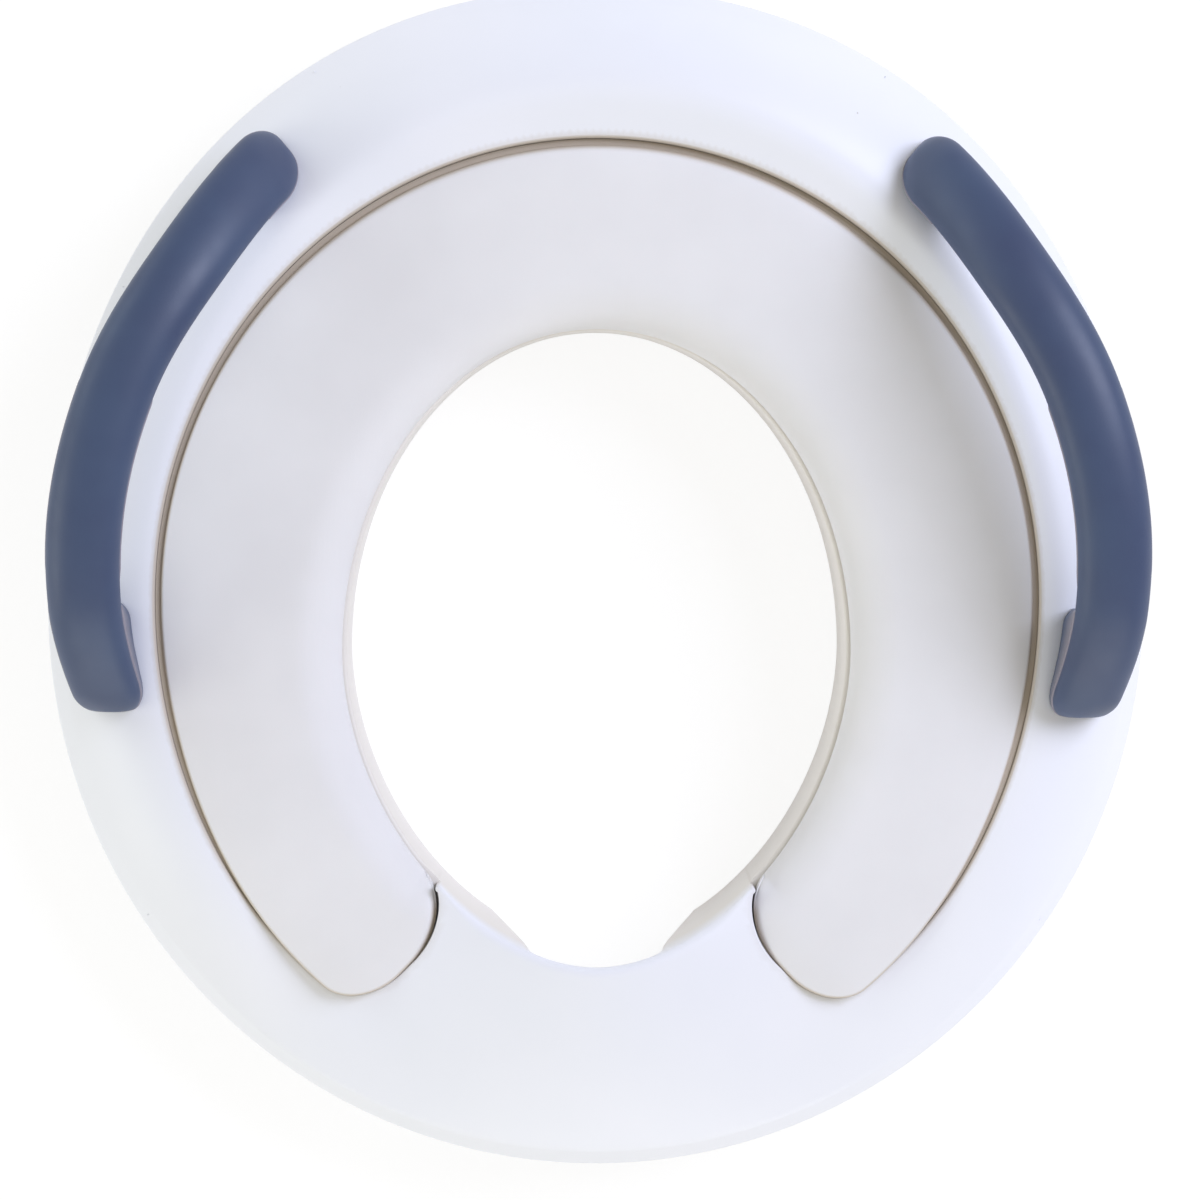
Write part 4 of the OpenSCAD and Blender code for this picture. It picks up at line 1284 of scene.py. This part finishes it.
def arch_at(turns):
    """Height of the bar's top, even along its length where the rim's two halves meet."""
    fine = np.arange(BACK_FOOT_ANGLE, FRONT_FOOT_ANGLE + ARCH_STEP / 2, ARCH_STEP)
    place = 2 * (fine - BACK_FOOT_ANGLE) / (FRONT_FOOT_ANGLE - BACK_FOOT_ANGLE) - 1
    height = mix(ARCH_END_Z, ARCH_TOP_Z, 1 - np.abs(place) ** ARCH_POWER)
    run = run_of(RIM.at(fine))
    even = np.linspace(0, run[-1], ARCH_POINTS)
    level = np.interp(even, run, height)
    reach = int(ARCH_EASE / (even[1] - even[0]))
    before = 2 * level[0] - level[reach:0:-1]
    after = 2 * level[-1] - level[-2:-reach - 2:-1]
    window = np.hanning(2 * reach + 3)[1:-1]
    eased = np.convolve(np.concatenate([before, level, after]), window / window.sum(), "valid")
    return np.interp(np.interp(turns, fine, run), even, eased)


def unit(vectors):
    return vectors / np.linalg.norm(vectors, axis=-1)[..., None]


def bar_swings(depth):
    """Angles round each section; the lower half has a seam at a fixed drop below its middle.

    Takes the depth of each section's lower half, and gives the angles and the steps outward."""
    levels = SEAM_DROP + np.array(SEAM_LEVELS)
    upper = np.arcsin(np.clip(levels / depth[:, None], 0, 1) ** (1 / BAR_POWER))
    rest = mix(upper[:, -1:], math.pi / 2, np.linspace(0, 1, LOWER_POINTS)[1:])
    lower = np.concatenate([upper, rest], axis=1)
    crown = np.broadcast_to(np.linspace(0, math.pi, CROWN_POINTS), (len(depth), CROWN_POINTS))
    inward = LOWER_HALF_STEP * np.linspace(1, 0, LOWER_POINTS) ** 2
    step = np.concatenate([[0, SEAM_PROUD, SEAM_PROUD], inward])
    swings = np.concatenate([crown, math.pi + lower, 2 * math.pi - lower[:, -2::-1]], axis=1)
    return swings, np.concatenate([np.zeros(CROWN_POINTS), step, step[-2::-1]])


def bar_sections(turns):
    """Rounded sections of the left handle at angles round the rim."""
    place = 2 * (turns - BACK_FOOT_ANGLE) / (FRONT_FOOT_ANGLE - BACK_FOOT_ANGLE) - 1
    arch = arch_at(turns)
    from_end = np.minimum(turns - BACK_FOOT_ANGLE, FRONT_FOOT_ANGLE - turns) * BAR_MM_PER_DEGREE
    length, fillet, foot_round, end_round = (
        np.where(place < 0, *pair) for pair in (FOOT_LENGTHS, FOOT_FILLETS, FOOT_ROUNDS, END_ROUNDS))
    into = length + fillet - from_end
    top = arch - BAR_THICKNESS
    bend = top - fillet * (1 - np.sqrt(np.clip(1 - (into / fillet) ** 2, 0, 1)))
    low = np.where(into <= 0, top, np.where(into > fillet, 0, bend))
    inside_foot = length - from_end
    share = mix(FOOT_END_SHARE, 1, np.where(inside_foot > 0, quarter(inside_foot / foot_round),
                                            smooth(-inside_foot / fillet)))
    waist = arch - BAR_END_DROP * (1 - quarter(from_end / end_round)) - BAR_THICKNESS / 2
    middle, normal = bar_line(turns)
    turned = eased(place, BAR_TURN_START, 1 - BAR_TURN_START)[:, None]
    across = unit(mix(normal, np.array([-1.0, 0.0]), turned))
    swing, step = bar_swings(waist - low)
    power = np.where(np.sin(swing) > 0, DOME_POWER, BAR_POWER)
    c = np.sign(np.cos(swing)) * np.abs(np.cos(swing)) ** power
    s = np.sign(np.sin(swing)) * np.abs(np.sin(swing)) ** power
    behind = place[:, None] < 0
    reach = np.where(c > 0, np.where(behind, *OUTER_END_ROUNDS), np.where(behind, *INNER_END_ROUNDS))
    end_share = np.where(c > 0, np.where(behind, *OUTER_END_SHARES), np.where(behind, *INNER_END_SHARES))
    half = BAR_WIDTH / 2 * mix(1, FRONT_WIDTH_SHARE, turned)
    half = half * mix(end_share, 1, quarter(from_end[:, None] / reach))
    foot_share = share * np.where(place < 0, *FOOT_WIDTH_SHARES)
    wide = half * c * mix(1, foot_share[:, None], np.clip(-s, 0, 1)) + np.sign(c) * step
    points = middle[:, None] + across[:, None] * wide[..., None]
    z = waist[:, None] + s * np.where(s > 0, BAR_THICKNESS / 2, (waist - low)[:, None])
    ground = height_at(points.reshape(-1, 2)).reshape(z.shape) + FOOT_GAP
    return with_z(points, np.maximum(z, ground))


def bar_turns():
    """Angles of the sections: close together at the ends and round the fillets."""
    def half(foot):
        bend = 1 - np.cos(np.linspace(0, math.pi / 2, BEND_POINTS))
        end, length, fillet = END_ROUNDS[foot], FOOT_LENGTHS[foot], FOOT_FILLETS[foot]
        at = np.concatenate([end * bend, np.linspace(end, length - 0.1, FOOT_POINTS),
                             length - 0.1 - FOOT_ROUNDS[foot] * bend, length + fillet * bend])
        at = np.sort(at)
        return at[np.concatenate([[True], np.diff(at) > LEAST_STEP])] / BAR_MM_PER_DEGREE

    back = BACK_FOOT_ANGLE + half(0)
    front = FRONT_FOOT_ANGLE - half(1)[::-1]
    return np.concatenate([back, np.linspace(back[-1], front[0], BAR_POINTS)[1:-1], front])


def bar_seam(sections):
    """Points of the parting line, along both sides of a bar."""
    return sections[:, [CROWN_POINTS + 1, -2]].reshape(-1, 3)


def make_handle(side, material):
    sections = bar_sections(bar_turns())
    if side == "right":
        sections = sections * np.array([-1.0, 1.0, 1.0])
    builder = Builder()
    builder.rows(sections)
    count = sections.shape[1]
    for section in (sections[0], sections[-1]):
        fan = np.concatenate([section, section.mean(axis=0)[None]])
        builder.faces_of(fan, [(k, (k + 1) % count, count) for k in range(count)])
    name = side + "_grab_handle"
    data = builder.mesh(name, HANDLE_MERGE_MM)
    smoothed(data, HANDLE_SHARP)
    # Painted highlight along the parting seam on both sides of the bar
    gap = np.linalg.norm(places_of(data)[:, None] - bar_seam(sections)[None], axis=2).min(axis=1)
    paint(data, "parting", smooth((PARTING_WIDTH - gap) / (0.6 * PARTING_WIDTH)))
    piece = piece_from(data, name, material)
    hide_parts(side + "_handle")


# Floor, camera and lights

CAMERA_AT = (-21.9, 49.5, 1500.0)
CAMERA_AIM = (1.1, -6.75, 35.0)
CAMERA_ROLL = 0.4
LENS_MM = 140.5
SENSOR_MM = 36.0
FLOOR_REACH = 4.0
FLOOR_Z = -0.0005
FLOOR_GLOW = 0.86
WORLD_COLOUR = (1.0, 0.936, 0.808, 1.0)
WORLD_STRENGTH = 0.427
LAMP_AIM = Vector((0, 0, 0.05))
# Each lamp's place and size in metres, its power in watts and its linear colour
LAMPS = {
    "key": ((1.5, 0.9, 1.7), (1.3, 1.3), 45.6, (0.77, 0.81, 1.0)),
    "front_fill": ((0.0, -2.3, 0.65), (3.0, 1.1), 23.3, (0.98, 1.0, 0.99)),
    "left_fill": ((-2.2, -0.7, 0.75), (1.6, 1.1), 14.7, (0.98, 1.0, 0.95)),
    "back_left_fill": ((-2.0, 1.3, 0.8), (1.8, 1.1), 12.5, (0.86, 0.95, 1.0)),
}


def make_floor():
    """A white paper sweep, burnt out to white for the eye and paper for the light it returns."""
    data = bpy.data.meshes.new("floor")
    corners = [(x * FLOOR_REACH, y * FLOOR_REACH, FLOOR_Z) for x, y in ((-1, -1), (1, -1), (1, 1), (-1, 1))]
    data.from_pydata(corners, [], [(0, 1, 2, 3)])
    floor = linked("floor", data)
    recipe = Recipe("white_paper_sweep")
    path = recipe.add("ShaderNodeLightPath").outputs
    seen = recipe.maths("MAXIMUM", path["Is Camera Ray"], path["Is Glossy Ray"])
    seen = recipe.maths("MAXIMUM", seen, path["Is Transmission Ray"])
    paper = recipe.add("ShaderNodeBsdfDiffuse", Color=linear("#f4f4f4"))
    faint = recipe.add("ShaderNodeBsdfDiffuse", Color=linear("#787878"))
    white = recipe.add("ShaderNodeEmission", Color=(1.0, 1.0, 1.0, 1.0), Strength=FLOOR_GLOW)
    both = recipe.add("ShaderNodeAddShader", i0=faint.outputs[0], i1=white.outputs[0])
    pick = recipe.add("ShaderNodeMixShader", i0=seen, i1=paper.outputs[0], i2=both.outputs[0])
    feed(recipe.tree, recipe.tree.nodes["Material Output"], {"Surface": pick.outputs[0]})
    data.materials.append(recipe.material)


def make_camera():
    data = bpy.data.cameras.new("camera")
    data.sensor_width = SENSOR_MM
    data.lens = LENS_MM
    camera = linked("camera", data)
    at = Vector(CAMERA_AT) * MM
    look = (Vector(CAMERA_AIM) * MM - at).normalized()
    side = look.cross(Vector((0, 1, 0))).normalized()
    turn = Matrix((side, side.cross(look), -look)).transposed().to_4x4()
    roll = Matrix.Rotation(math.radians(CAMERA_ROLL), 4, "Z")
    camera.matrix_world = Matrix.Translation(at) @ turn @ roll
    bpy.context.scene.camera = camera


def make_light():
    world = bpy.data.worlds.new("studio")
    bpy.context.scene.world = world
    world.use_nodes = True
    feed(world.node_tree, world.node_tree.nodes["Background"],
         {"Color": WORLD_COLOUR, "Strength": WORLD_STRENGTH})
    for name, (place, size, power, colour) in LAMPS.items():
        data = bpy.data.lights.new(name, "AREA")
        data.shape = "RECTANGLE"
        data.size, data.size_y = size
        data.energy = power
        data.color = colour
        lamp = linked(name, data)
        lamp.location = place
        aim = (LAMP_AIM - Vector(place)).normalized()
        lamp.rotation_euler = aim.to_track_quat("-Z", "Y").to_euler()


scene = bpy.context.scene
scene.view_settings.view_transform = "Standard"
shell_finish = polypropylene_white()
handle_finish = polypropylene_slate()
set_out_tree = setting_out_tree()
make_shell(shell_finish, set_out_tree)
make_pad(foam_skin(), set_out_tree)
make_handle("left", handle_finish)
make_handle("right", handle_finish)
make_screws(set_out_tree, zinc_steel())
make_grips(set_out_tree, elastomer_grey())
make_floor()
make_camera()
make_light()
